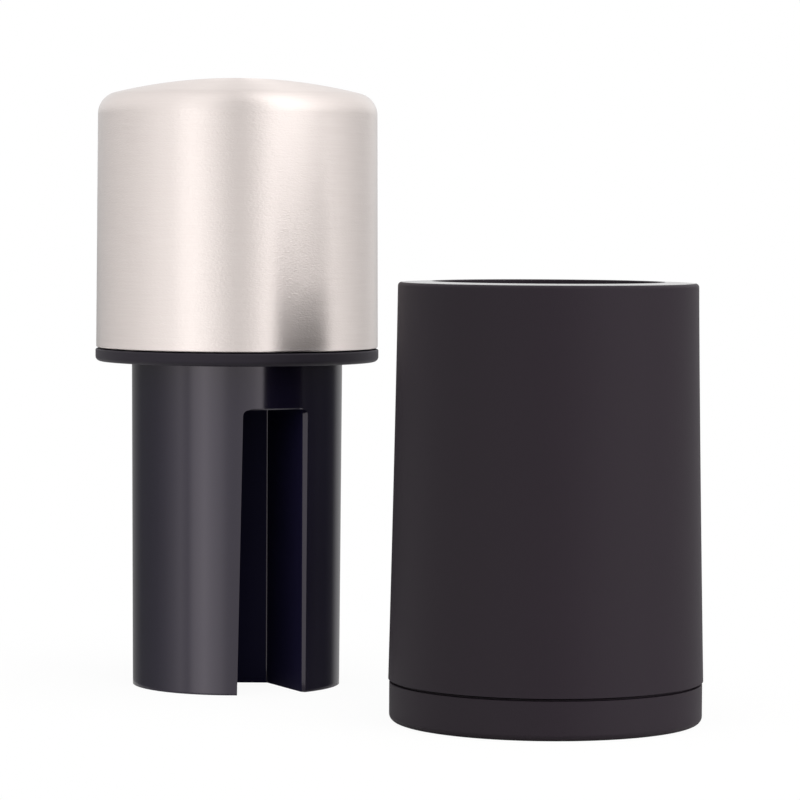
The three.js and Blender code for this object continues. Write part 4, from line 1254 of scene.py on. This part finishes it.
def wall_faces():
    """Faces of every cell, and of every step between a cell and the ones beside and above it."""
    faces = []
    for i in range(len(azimuth_lines)):
        for j in range(len(height_lines) - 1):
            here, far_corner = cell_radius(i, j), (i + 1, j + 1)
            if here is not None:
                cell = ((i, j), (i + 1, j), far_corner, (i, j + 1))
                for radius in (here, sleeve_radius):
                    faces.append(tuple(cell_point(radius, *corner) for corner in cell))
            steps = ((cell_radius(i + 1, j), (i + 1, j)), (cell_radius(i, j + 1), (i, j + 1)))
            for there, corner in steps:
                if here == there:
                    continue
                sides = [sleeve_radius if side is None else side for side in (here, there)]
                start = [cell_point(side, *corner) for side in sides]
                end = [cell_point(side, *far_corner) for side in sides]
                faces.append((start[0], start[1], end[1], end[0]))
    return faces


foot_rows = []
for height in (sleeve_low.z, floor_top):
    foot_rows.append([(*plan_point(sleeve_radius, a), height) for a in azimuth_lines])
floor_disc = tuple((*plan_point(bore_radius, a), floor_top) for a in azimuth_lines)
sleeve_faces = [*wall_faces(), *grid(foot_rows, closed=True), tuple(foot_rows[0]), floor_disc]
sleeve = sewn("blade_sleeve_skin", sleeve_faces)
print("sleeve has", len(sleeve.data.polygons), "faces")

# %% Sleeve: lugs, and holes for screws
LUG_WIDTH = 6.0
LUG_INSET = 0.35
LUG_CORNER = 1.2
DRILL_PAST = 1.0

lug_end = body_radius(floor_top) - BODY_WALL - LUG_INSET
lug_outline = tongue(LUG_WIDTH, sleeve_radius - SLEEVE_WALL, lug_end, LUG_CORNER)
lugs = sewn("sleeve_lugs", block(lug_outline, sleeve_low.z, floor_top))
set_around(lugs, 3, *SLEEVE_SCREW_AZIMUTHS, INNER_ABS)
combined(sleeve, lugs, "UNION")

hole = post(sleeve_screw_hole, sleeve_low.z - DRILL_PAST, floor_top + DRILL_PAST)
screw_holes = sewn("screw_holes", hole)
set_around(screw_holes, 3, *SLEEVE_SCREW_AZIMUTHS, INNER_ABS, sleeve_screw_circle)
combined(sleeve, screw_holes, "DIFFERENCE")
print("sleeve with lugs has", len(sleeve.data.polygons), "faces")

# %% Sleeve: rivet holes, and rounded edges
SLEEVE_EDGE_ROUND = 0.12
BEVEL_SEGMENTS = 2


def laid(faces):
    """The same faces, laid over so that what pointed up points outwards, towards -Y."""
    return [tuple((x, -z, y) for x, y, z in face) for face in faces]


def rivet_holes():
    """Drills for all six rivets, pointing outwards from the bore."""
    low, high = bore_radius - DRILL_PAST, sleeve_radius + DRILL_PAST
    drills = sewn("rivet_holes", laid(post(RIVET_RADIUS + SEAT_GAP, low, high, steps=24)))
    return set_around(drills, 2, -rivet_azimuth, 2 * rivet_azimuth, INNER_ABS, **rivet_rings)


def bevelled(skin, width):
    """Rounds every crease a little, as a mould or a tool leaves it."""
    bevel = skin.modifiers.new("Edge rounding", "BEVEL")
    bevel.width = width * MM
    bevel.segments = BEVEL_SEGMENTS
    bevel.limit_method = "ANGLE"
    bevel.angle_limit = math.radians(SHARP_ANGLE)
    bevel.use_clamp_overlap = True
    bevel.material = 0
    return baked(skin)


combined(sleeve, rivet_holes(), "DIFFERENCE")
bevelled(sleeve, SLEEVE_EDGE_ROUND)
dressed(sleeve, "mill_body", "inner_abs", ["blade_sleeve"], INNER_ABS)

# %% [markdown]
# ## The blade
#
# This is the piece that grates: thin steel sheet, etched with six-sided holes in staggered rows,
# and each hole has one edge raised by half a millimetre. One tooth is drawn flat, as a tile of 32
# faces. Geometry Nodes set it on two grids that are half a pitch apart, join the plain sheet around
# the teeth, and bend the whole to the sleeve's radius. A Solidify modifier gives it its thickness.

# %% Blade: one tooth, and the plain sheet around the teeth
TOOTH_HEIGHT = 0.5
HOLE_QUADRANT = [(1.25, 0.0), (1.25, 0.62), (1.08, 1.08), (0.6, 1.4)]
HOLE_TOP = 1.65
TOOTH_SLOPE_START = 0.5
TOOTH_SHOULDER = 0.4
TOOTH_SHOULDER_RAISE = 0.3

tooth_pitch = math.radians(TOOTH_PITCH_ANGLE) * blade_radius
field_width, field_height = tooth_pitch * TEETH_PER_ROW, row_pitch * 2 * ROW_PAIRS
sheet_width = 2 * math.radians(blade_half_angle) * blade_radius
sheet_height = blade_high.z - blade_low.z


def full_loop(quadrant, top):
    """A loop of points that is the same in all four quadrants."""
    upper = [*quadrant, (0.0, top), *[(-x, y) for x, y in reversed(quadrant)]]
    return [*upper, *[(x, -y) for x, y in reversed(upper[1:-1])]]


def tooth_tile():
    """The sheet around one hole; its left edge, which meets the nutmeg, is raised."""
    half_x, half_y = tooth_pitch / 2, row_pitch / 2
    rim_quadrant = [(half_x, 0.0), (half_x, half_y / 2), (half_x, half_y), (half_x / 2, half_y)]
    rim, hole = full_loop(rim_quadrant, half_y), full_loop(HOLE_QUADRANT, HOLE_TOP)
    edge, shoulder = [], []
    reach = HOLE_QUADRANT[0][0] - TOOTH_SLOPE_START
    for (x, y), (rim_x, rim_y) in zip(hole, rim):
        rise = TOOTH_HEIGHT * max(0.0, -x - TOOTH_SLOPE_START) / reach
        edge.append((x, y, rise))
        away_x, away_y = (rim_x - x) * TOOTH_SHOULDER, (rim_y - y) * TOOTH_SHOULDER
        shoulder.append((x + away_x, y + away_y, rise * TOOTH_SHOULDER_RAISE))
    return grid([[(x, y, 0.0) for x, y in rim], shoulder, edge], closed=True)


def sheet_lines(field, sheet, steps, margin_steps):
    """Lines across the sheet: even ones over the field of teeth, and a few over each margin."""
    low = spread(-sheet / 2, -field / 2, margin_steps)[:-1]
    return [*low, *spread(-field / 2, field / 2, steps), *[-line for line in reversed(low)]]


def plain_sheet():
    """The sheet's margins, and the half tiles at both ends of every other row."""
    across = sheet_lines(field_width, sheet_width, 4 * TEETH_PER_ROW, 3)
    up = sheet_lines(field_height, sheet_height, 8 * ROW_PAIRS, 2)
    faces = []
    for left, right in zip(across, across[1:]):
        for low, high in zip(up, up[1:]):
            x, y = (left + right) / 2, (low + high) / 2
            shifted = math.floor((y + field_height / 2) / row_pitch) % 2
            row_reach = (field_width - shifted * tooth_pitch) / 2
            if abs(x) > row_reach or abs(y) > field_height / 2:
                faces.append(((left, low, 0), (right, low, 0), (right, high, 0), (left, high, 0)))
    return faces


print("one tooth takes", round(tooth_pitch, 2), "by", round(row_pitch, 2), "mm")

# %% Blade: rows of teeth on the flat sheet
TILE_MERGE_DISTANCE = 5 * MERGE_DISTANCE


def toothed_sheet(tree, given):
    """The given flat sheet, with a tooth at every point of two grids, half a pitch apart."""
    tooth = add(tree, "GeometryNodeObjectInfo", {"Object": given["Tooth"]}).outputs["Geometry"]
    fewer = add(
        tree, "ShaderNodeMath", {0: given["Teeth per row"], 1: 1.0}, operation="SUBTRACT"
    )
    pair_pitch = add(
        tree, "ShaderNodeMath", {0: given["Row pitch"], 1: 2.0}, operation="MULTIPLY"
    )
    pair_gaps = add(tree, "ShaderNodeMath", {0: given["Row pairs"], 1: 1.0}, operation="SUBTRACT")
    rows_height = add(
        tree,
        "ShaderNodeMath",
        {0: pair_gaps.outputs[0], 1: pair_pitch.outputs[0]},
        operation="MULTIPLY",
    )
    flat = add(tree, "GeometryNodeJoinGeometry", {"Geometry": given["Geometry"]})
    for teeth, shift in ((given["Teeth per row"], -0.5), (fewer.outputs[0], 0.5)):
        gaps = add(tree, "ShaderNodeMath", {0: teeth, 1: 1.0}, operation="SUBTRACT")
        row_width = add(
            tree,
            "ShaderNodeMath",
            {0: gaps.outputs[0], 1: given["Tooth pitch"]},
            operation="MULTIPLY",
        )
        spots = add(
            tree,
            "GeometryNodeMeshGrid",
            {
                "Size X": row_width.outputs[0],
                "Size Y": rows_height.outputs[0],
                "Vertices X": teeth,
                "Vertices Y": given["Row pairs"],
            },
        )
        lift = add(
            tree, "ShaderNodeMath", {0: given["Row pitch"], 1: shift}, operation="MULTIPLY"
        )
        offset = add(tree, "ShaderNodeCombineXYZ", {"Y": lift.outputs[0]})
        rows = add(
            tree,
            "GeometryNodeSetPosition",
            {"Geometry": spots.outputs["Mesh"], "Offset": offset.outputs[0]},
        )
        copies = add(
            tree, "GeometryNodeInstanceOnPoints", {"Points": rows.outputs[0], "Instance": tooth}
        )
        tree.links.new(copies.outputs[0], flat.inputs[0])
    loose = add(tree, "GeometryNodeRealizeInstances", {"Geometry": flat.outputs[0]})
    return add(
        tree,
        "GeometryNodeMergeByDistance",
        {"Geometry": loose.outputs[0], "Distance": TILE_MERGE_DISTANCE * MM},
    )


print("teeth in", 2 * ROW_PAIRS, "rows of", TEETH_PER_ROW, "and", TEETH_PER_ROW - 1)

# %% Blade: the tree that bends the toothed sheet
def blade_tree():
    tree, given = new_tree(
        "Bent sheet of teeth",
        Tooth="Object",
        Radius="Float",
        Tooth_pitch="Float",
        Row_pitch="Float",
        Teeth_per_row="Int",
        Row_pairs="Int",
        Middle_height="Float",
        Finish="Material",
    )
    sheet = toothed_sheet(tree, given)
    place = add(tree, "GeometryNodeInputPosition")
    axes = add(tree, "ShaderNodeSeparateXYZ", {"Vector": place.outputs[0]})
    azimuth = add(
        tree, "ShaderNodeMath", {0: axes.outputs["X"], 1: given["Radius"]}, operation="DIVIDE"
    )
    forward = add(
        tree, "ShaderNodeMath", {0: axes.outputs["Z"], 1: given["Radius"]}, operation="SUBTRACT"
    )
    height = add(
        tree, "ShaderNodeMath", {0: axes.outputs["Y"], 1: given["Middle height"]}, operation="ADD"
    )
    on_front = add(
        tree, "ShaderNodeCombineXYZ", {"Y": forward.outputs[0], "Z": height.outputs[0]}
    )
    around = add(
        tree,
        "ShaderNodeVectorRotate",
        {"Vector": on_front.outputs[0], "Angle": azimuth.outputs[0]},
        rotation_type="Z_AXIS",
    )
    bent = add(
        tree,
        "GeometryNodeSetPosition",
        {"Geometry": sheet.outputs[0], "Position": around.outputs[0]},
    )
    end_tree(tree, bent.outputs[0], given["Finish"])
    return tree


BLADE_TREE = blade_tree()
print(BLADE_TREE.name, "has", len(BLADE_TREE.nodes), "nodes")

# %% Blade: bent, thickened and drilled
tooth = sewn("tooth_tile", tooth_tile(), closed=False)
blade = sewn("grater_blade_skin", plain_sheet(), closed=False)
grown(
    blade,
    BLADE_TREE,
    Tooth=tooth,
    Radius=blade_radius * MM,
    Tooth_pitch=tooth_pitch * MM,
    Row_pitch=row_pitch * MM,
    Teeth_per_row=TEETH_PER_ROW,
    Row_pairs=ROW_PAIRS,
    Middle_height=middle("grater_blade").z * MM,
    Finish=ETCHED_STEEL,
)
bpy.data.objects.remove(tooth)
sheet = blade.modifiers.new("Sheet thickness", "SOLIDIFY")
sheet.thickness = BLADE_THICKNESS * MM
sheet.offset = 1.0
baked(blade)
combined(blade, rivet_holes(), "DIFFERENCE")
dressed(blade, "mill_body", "etched_steel", ["grater_blade"])

# %% [markdown]
# ## Rivets and screws
#
# Six small rivets hold the blade in its recess, three screws hold the sleeve in the body from
# below, and three more hold the column in the cap's core from above. Each is one turned form that
# the ring tree copies. The screws have a pan head with a cross cut into it and a thread drawn as
# plain rings, because it always sits in its boss.

# %% Rivets
RIVET_HEAD_RADIUS = 1.0
RIVET_INNER_HEAD = 0.2
RIVET_OUTER_HEAD = 0.4


def dome(radius, base, rise, steps=6):
    """Profile of a shallow dome, from its rim to its pole; with a negative rise it hangs down."""
    ball = (radius**2 + rise**2) / (2 * abs(rise))
    points = []
    for turn in spread(math.asin(radius / ball), 0, steps):
        height = abs(rise) - ball * (1 - math.cos(turn))
        points.append((ball * math.sin(turn), base + math.copysign(height, rise)))
    return points


inner_head = bore_radius - RIVET_INNER_HEAD - blade_radius
outer_head = SEAT_GAP + RIVET_OUTER_HEAD
rivet_profile = [
    *reversed(dome(RIVET_HEAD_RADIUS, blade_radius, inner_head)),
    (RIVET_RADIUS, blade_radius),
    (RIVET_RADIUS, sleeve_radius),
    *dome(RIVET_HEAD_RADIUS, sleeve_radius, outer_head),
]
rivets = sewn("blade_rivets_skin", laid(turned(rivet_profile, ORIGIN, 32)))
set_around(rivets, 2, -rivet_azimuth, 2 * rivet_azimuth, ZINC, **rivet_rings)
dressed(rivets, "mill_body", "plated_steel", [f"blade_rivet_{i}" for i in range(1, 7)])

# %% Screws
THREAD_PITCH = 1.0
THREAD_ROOT = 0.75
SCREW_TIP = 0.6
CROSS_LENGTH = 1.1
CROSS_WIDTH = 0.6
CROSS_DEPTH = 0.7


def screw_profile(shank, length, head_radius, head_height):
    """Half section of a pan-head screw, from its tip up; its seat is a gap below height 0."""
    profile = [(0, -length), (SCREW_TIP * shank, -length)]
    turns = int((length - shank - SEAT_GAP) / THREAD_PITCH)
    for height in spread(shank - length, -SEAT_GAP - THREAD_PITCH, turns):
        profile.append((shank, height))
        profile.append((THREAD_ROOT * shank, height + THREAD_PITCH / 2))
    side = head_height / 2
    profile.append((THREAD_ROOT * shank, -SEAT_GAP))
    profile.extend([(head_radius, -SEAT_GAP), (head_radius, side)])
    profile.extend(dome(head_radius, side, head_height - side, 8)[1:])
    return profile


def screw(name, shank, length, head, points_up=False):
    """One screw on the Z axis, with a cross cut into its head."""
    side = -1 if points_up else 1
    half, arm = CROSS_WIDTH / 2, head[0] * CROSS_LENGTH / 2
    cross = [(arm, half), (half, half), (half, arm), (-half, arm), (-half, half), (-arm, half)]
    cross.extend([(-x, -y) for x, y in cross])
    bottom, top = head[1] - CROSS_DEPTH, head[1] + DRILL_PAST
    profile = [(radius, side * height) for radius, height in screw_profile(shank, length, *head)]
    form = sewn(name, turned(profile, ORIGIN, 40))
    return combined(form, sewn("cross", block(cross, side * bottom, side * top)), "DIFFERENCE")


sleeve_screws = screw(
    "sleeve_screws_skin", SLEEVE_SCREW_SHANK, SLEEVE_SCREW_LENGTH, SLEEVE_SCREW_HEAD, points_up=True
)
low_ring = {"radius": sleeve_screw_circle, "low": sleeve_screw_seat}
set_around(sleeve_screws, 3, *SLEEVE_SCREW_AZIMUTHS, ZINC, **low_ring)
dressed(sleeve_screws, "mill_body", "plated_steel", [f"sleeve_screw_{i}" for i in (1, 2, 3)])

column_screws = screw("column_screws_skin", HEAD_SCREW_SHANK, HEAD_SCREW_LENGTH, HEAD_SCREW_HEAD)
high_ring = {"radius": head_screw_circle, "low": head_screw_seat, "axis": HEAD}
set_around(column_screws, 3, *HEAD_SCREW_AZIMUTHS, ZINC, **high_ring)
dressed(column_screws, "head", "plated_steel", [f"column_screw_{i}" for i in (1, 2, 3)])

# %% [markdown]
# ## The core inside the cap
#
# Nobody sees it, but it is what makes thin steel a firm grip: a nylon cup that fills the cap, with
# six ribs and a floor that the column is screwed to. The cup is turned, the ribs are placed by the
# ring tree and joined on, and the screw holes are drilled.

# %% Core
CORE_FLOOR = 2.25
CORE_WALL = 1.7
CORE_VENT_RADIUS = 7.0
CORE_FLOOR_FILLET = 1.0
CORE_RIBS = 6
CORE_RIB_DEPTH = 3.2
CORE_RIB_THICKNESS = 1.4
CORE_RIB_CORNER = 0.5
CORE_RIB_BELOW_EDGE = 5.75
# An odd number of steps, so that no corner of a hole falls on a line of the cup
CORE_STEPS = 233

core_radius = (core_high.x - core_low.x) / 2
core_top_radius = core_radius - CAP_DRAFT
core_floor_top = core_low.z + CORE_FLOOR
corner_radius = core_radius - CORE_WALL - CORE_FLOOR_FILLET
core_profile = [
    (CORE_VENT_RADIUS, core_low.z),
    (core_radius, core_low.z),
    (core_top_radius, core_high.z),
    (core_top_radius - CORE_WALL, core_high.z),
    *arc((corner_radius, core_floor_top + CORE_FLOOR_FILLET), CORE_FLOOR_FILLET, 0, -90, 5),
    (CORE_VENT_RADIUS, core_floor_top),
    (CORE_VENT_RADIUS, core_low.z),
]
core = sewn("cap_core_skin", turned(core_profile, HEAD, CORE_STEPS))
rib_outer = core_top_radius - CORE_WALL / 2
rib_inner = core_top_radius - CORE_WALL - CORE_RIB_DEPTH
rib_outline = tongue(CORE_RIB_THICKNESS, rib_outer, rib_inner, CORE_RIB_CORNER)
rib_low, rib_high = core_floor_top - CORE_FLOOR / 2, core_high.z - CORE_RIB_BELOW_EDGE
ribs = sewn("core_ribs", block(rib_outline, rib_low, rib_high))
set_around(ribs, CORE_RIBS, 0, 360 / CORE_RIBS, CORE_NYLON, axis=HEAD)
combined(core, ribs, "UNION")
hole = post(pilot, core_low.z - DRILL_PAST, core_floor_top + DRILL_PAST)
core_holes = sewn("core_holes", hole)
set_around(core_holes, 3, *HEAD_SCREW_AZIMUTHS, CORE_NYLON, head_screw_circle, axis=HEAD)
combined(core, core_holes, "DIFFERENCE")
dressed(core, "head", "core_abs", ["cap_core"], CORE_NYLON)

# %% [markdown]
# ## The light
#
# The photo has a white room. The camera sees plain white behind the object. Glossy surfaces see
# two rooms: just below the horizon, where the upright column mirrors it, lies a bright table with
# a dark right side, and everywhere else stand pale walls that the brushed cap smears into soft
# bands, under a brighter ceiling. A colour ramp around the horizon paints each of them. Matt
# surfaces get a soft even fill, and a few large area lamps give them their shape.

# %% The tones of the room
# Azimuth in degrees, and how bright the room is there
TABLE_LIGHT = [(-180, 0.3), (-153, 0.28), (-127, 0.2), (-110, 0.31), (-96, 0.46), (-84, 0.7),
               (-72, 1.1), (-62, 1.6), (-52, 1.25), (-46, 2.2), (-33, 2.9), (-24, 2.4), (-15, 2.0),
               (-7, 1.4), (2, 1.3), (11, 1.45), (20, 1.7), (29, 2.4), (50, 1.9), (64, 1.15),
               (74, 0.2), (87, 0.04), (103, 0.08), (118, 0.05), (134, 0.1), (148, 0.5),
               (165, 0.5)]
WALL_LIGHT = [(-180, 1.0), (-152, 1.07), (-125, 1.19), (-104, 1.2), (-87, 1.22), (-72, 1.23),
              (-58, 1.28), (-44, 1.43), (-36, 1.44), (-21, 1.2), (-10, 1.06), (1, 0.84), (12, 0.89),
              (25, 1.22), (36, 1.85), (49, 2.02), (62, 1.97), (76, 1.66), (100, 1.4), (125, 1.2),
              (150, 1.25), (168, 1.1)]
LIGHT_PEAK = 3.0


def painted_ramp(tree, share, light):
    """A colour ramp around the horizon, joined up behind the object; a new one has two stops."""
    ramp = add(tree, "ShaderNodeValToRGB", {"Fac": share})
    stops = ramp.color_ramp.elements
    for _ in light[2:]:
        stops.new(0.5)
    stops.new(1.0)
    for stop, (azimuth, strength) in zip(stops, [*light, (180, light[0][1])]):
        stop.position = (azimuth + 180) / 360
        stop.color = (*[strength / LIGHT_PEAK] * 3, 1.0)
    return ramp.outputs["Color"]


print("room painted with", len(TABLE_LIGHT) + len(WALL_LIGHT), "tones")

# %% What a mirror sees of the room
TABLE_BAND_MIDDLE = -0.09
TABLE_BAND_HALF = 0.07
TABLE_BAND_FADE = 0.13
CEILING_START, CEILING_FULL = 0.3, 0.9
CEILING_GAIN = 1.15


def painted_room(tree):
    """The walls under a brighter ceiling, and the table in a band just below the horizon."""
    place = add(tree, "ShaderNodeTexCoord")
    axes = add(tree, "ShaderNodeSeparateXYZ", {"Vector": place.outputs["Generated"]})
    front = add(tree, "ShaderNodeMath", {0: axes.outputs["Y"], 1: -1.0}, operation="MULTIPLY")
    turn = add(
        tree, "ShaderNodeMath", {0: axes.outputs["X"], 1: front.outputs[0]}, operation="ARCTAN2"
    )
    share = add(
        tree,
        "ShaderNodeMapRange",
        {"Value": turn.outputs[0], "From Min": -math.pi, "From Max": math.pi},
    )
    offset = add(
        tree, "ShaderNodeMath", {0: axes.outputs["Z"], 1: TABLE_BAND_MIDDLE}, operation="SUBTRACT"
    )
    distance = add(tree, "ShaderNodeMath", {0: offset.outputs[0]}, operation="ABSOLUTE")
    band = add(
        tree,
        "ShaderNodeMapRange",
        {
            "Value": distance.outputs[0],
            "From Min": TABLE_BAND_FADE,
            "From Max": TABLE_BAND_HALF,
        },
        interpolation_type="SMOOTHSTEP",
    )
    ceiling = add(
        tree,
        "ShaderNodeMapRange",
        {
            "Value": axes.outputs["Z"],
            "From Min": CEILING_START,
            "From Max": CEILING_FULL,
            "To Min": 1.0,
            "To Max": CEILING_GAIN,
        },
    )
    walls = add(
        tree,
        "ShaderNodeVectorMath",
        {0: painted_ramp(tree, share.outputs["Result"], WALL_LIGHT), "Scale": ceiling.outputs[0]},
        operation="SCALE",
    )
    painted = add(
        tree,
        "ShaderNodeMix",
        {
            "Factor": band.outputs["Result"],
            "A": walls.outputs["Vector"],
            "B": painted_ramp(tree, share.outputs["Result"], TABLE_LIGHT),
        },
        data_type="RGBA",
    )
    return add(
        tree,
        "ShaderNodeBackground",
        {"Color": painted.outputs["Result"], "Strength": LIGHT_PEAK},
    )


band_ends = [round(TABLE_BAND_MIDDLE + side * TABLE_BAND_HALF, 2) for side in (-1, 1)]
print("a mirror sees the table in directions whose height is between", *band_ends)

# %% The world
FILL_STRENGTH = 0.55


def white_studio():
    """White to the camera, painted to a mirror, and a soft even fill to all the rest."""
    world = bpy.data.worlds.new("White studio")
    world.use_nodes = True
    tree = world.node_tree
    tree.nodes.clear()
    room = painted_room(tree)
    white = add(tree, "ShaderNodeBackground", {"Color": (1, 1, 1, 1), "Strength": 1.0})
    fill = add(tree, "ShaderNodeBackground", {"Color": (1, 1, 1, 1), "Strength": FILL_STRENGTH})
    ray = add(tree, "ShaderNodeLightPath")
    glossy = add(tree, "ShaderNodeMixShader", {0: ray.outputs["Is Glossy Ray"]})
    tree.links.new(fill.outputs[0], glossy.inputs[1])
    tree.links.new(room.outputs[0], glossy.inputs[2])
    seen = add(
        tree,
        "ShaderNodeMath",
        {0: ray.outputs["Is Camera Ray"], 1: ray.outputs["Is Transmission Ray"]},
        operation="MAXIMUM",
    )
    camera = add(tree, "ShaderNodeMixShader", {0: seen.outputs[0]})
    tree.links.new(glossy.outputs[0], camera.inputs[1])
    tree.links.new(white.outputs[0], camera.inputs[2])
    add(tree, "ShaderNodeOutputWorld", {"Surface": camera.outputs[0]})
    return world


bpy.context.scene.world = white_studio()
print(bpy.context.scene.world.name, "has", len(bpy.context.scene.world.node_tree.nodes), "nodes")

# %% The soft boxes
LAMP_DISTANCE = 1100.0
LAMP_WIDTH, LAMP_HEIGHT = 0.7, 0.9
AIM = Vector((HEAD[0] / 2, HEAD[1] / 2, 60.0)) * MM
# Azimuth and elevation in degrees, and power in watts
LAMPS = {
    "left": (-38.0, 32.0, 2.5),
    "right": (48.0, 26.0, 4.0),
    "side": (68.0, 4.0, 9.0),
    "top": (10.0, 78.0, 6.0),
}


def soft_box(name, azimuth, elevation, watts):
    """A large lamp that looks at the object from an azimuth and an elevation."""
    light = bpy.data.lights.new(f"Soft box {name}", "AREA")
    light.shape = "RECTANGLE"
    light.size = LAMP_WIDTH
    light.size_y = LAMP_HEIGHT
    light.energy = watts
    lamp = bpy.data.objects.new(light.name, light)
    x, y = plan_point(LAMP_DISTANCE * math.cos(math.radians(elevation)), azimuth)
    lamp.location = Vector((x, y, LAMP_DISTANCE * math.sin(math.radians(elevation)))) * MM
    lamp.rotation_euler = (AIM - lamp.location).to_track_quat("-Z", "Y").to_euler()
    lamp.visible_glossy = False
    bpy.context.scene.collection.objects.link(lamp)


for lamp_name, (azimuth, elevation, watts) in LAMPS.items():
    soft_box(lamp_name, azimuth, elevation, watts)
print(len(LAMPS), "lamps")

# %% [markdown]
# ## The table
#
# A pale sheet of paper. To the camera it glows white, so it melts into the background, and a part
# of its real light and shadow is mixed in: most under the object, to keep it standing, and less
# and less further away. In a mirror, such as the gloss column, only the paper close to the object
# shows, which darkens the lowest edges; further out the mirror sees the painted room. Matt
# surfaces get less light back from the paper than its white would give.

# %% How near to the feet the real paper shows
def around_feet(tree, reach, most):
    """A share that is highest at the foot of either half and fades out, both ends in mm from it."""
    near, far = reach
    place = add(tree, "ShaderNodeTexCoord")
    shares = []
    for axis, foot in ((HEAD, column_high.x - HEAD[0]), (MILL, base_high.x)):
        away = add(
            tree,
            "ShaderNodeVectorMath",
            {0: place.outputs["Object"], 1: (axis[0] * MM, axis[1] * MM, 0)},
            operation="DISTANCE",
        )
        share = add(
            tree,
            "ShaderNodeMapRange",
            {
                "Value": away.outputs["Value"],
                "From Min": (foot + far) * MM,
                "From Max": (foot + near) * MM,
                "To Max": most,
            },
            interpolation_type="SMOOTHSTEP",
        )
        shares.append(share.outputs["Result"])
    nearest = add(tree, "ShaderNodeMath", {0: shares[0], 1: shares[1]}, operation="MAXIMUM")
    return nearest.outputs[0]


# %% The paper
SHADOW_SHARE = 0.06
SHADOW_REACH = (0.0, 105.0)
MIRRORED_REACH = (0.5, 2.5)


def white_paper():
    """Glow with a share of real paper to the camera, near paper to a mirror, dim paper to all."""
    material = bpy.data.materials.new("White paper")
    material.use_nodes = True
    tree = material.node_tree
    tree.nodes.clear()
    ray = add(tree, "ShaderNodeLightPath")
    paper = add(tree, "ShaderNodeBsdfDiffuse", {"Color": linear("#f2f1ef")})
    dim_paper = add(tree, "ShaderNodeBsdfDiffuse", {"Color": linear("#9a9998")})
    glow = add(tree, "ShaderNodeEmission", {"Color": (1, 1, 1, 1), "Strength": 1.0})
    nothing = add(tree, "ShaderNodeBsdfTransparent")
    near_share = around_feet(tree, MIRRORED_REACH, 1.0)
    shadow_share = around_feet(tree, SHADOW_REACH, SHADOW_SHARE)
    seen, mirrored, other, surface = [
        add(tree, "ShaderNodeMixShader", {0: share})
        for share in (
            shadow_share, near_share, ray.outputs["Is Glossy Ray"], ray.outputs["Is Camera Ray"]
        )
    ]
    for mix, first, second in (
        (seen, glow, paper),
        (mirrored, nothing, paper),
        (other, dim_paper, mirrored),
        (surface, other, seen),
    ):
        tree.links.new(first.outputs[0], mix.inputs[1])
        tree.links.new(second.outputs[0], mix.inputs[2])
    add(tree, "ShaderNodeOutputMaterial", {"Surface": surface.outputs[0]})
    return material


PAPER = white_paper()
print("made", PAPER.name)

# %% The table
TABLE_SIZE = 8.0

half = TABLE_SIZE / 2
table_mesh = bpy.data.meshes.new("table")
table_corners = [(-half, -half, 0), (half, -half, 0), (half, half, 0), (-half, half, 0)]
table_mesh.from_pydata(table_corners, [], [(0, 1, 2, 3)])
table_mesh.materials.append(PAPER)
table = bpy.data.objects.new("table", table_mesh)
bpy.context.scene.collection.objects.link(table)
print("table", TABLE_SIZE, "m square")

# %% [markdown]
# ## The camera
#
# A long lens, low above the table, so the verticals stay almost parallel. It could be aimed by
# eye, but the ellipses of the rim, the seam and the cap tell its height and its distance, so its
# place was worked out from them. It is rolled a third of a degree, as the photo is.

# %% The camera
CAMERA_PLACE = Vector((-28.08, -718.62, 97.47))
CAMERA_PITCH = -2.893
CAMERA_ROLL = 0.31
CAMERA_LENS = 170.1
SENSOR_WIDTH = 36.0

camera_data = bpy.data.cameras.new("Camera")
camera_data.lens = CAMERA_LENS
camera_data.sensor_width = SENSOR_WIDTH
camera_data.clip_start = 0.01
camera_data.clip_end = 20.0
camera = bpy.data.objects.new("Camera", camera_data)
bpy.context.scene.collection.objects.link(camera)
pitch = Matrix.Rotation(math.radians(90 + CAMERA_PITCH), 4, "X")
roll = Matrix.Rotation(math.radians(CAMERA_ROLL), 4, "Z")
camera.matrix_world = Matrix.Translation(CAMERA_PLACE * MM) @ pitch @ roll
bpy.context.scene.camera = camera
bpy.context.scene.view_settings.view_transform = "Standard"
print("camera at", [round(value, 3) for value in camera.location])
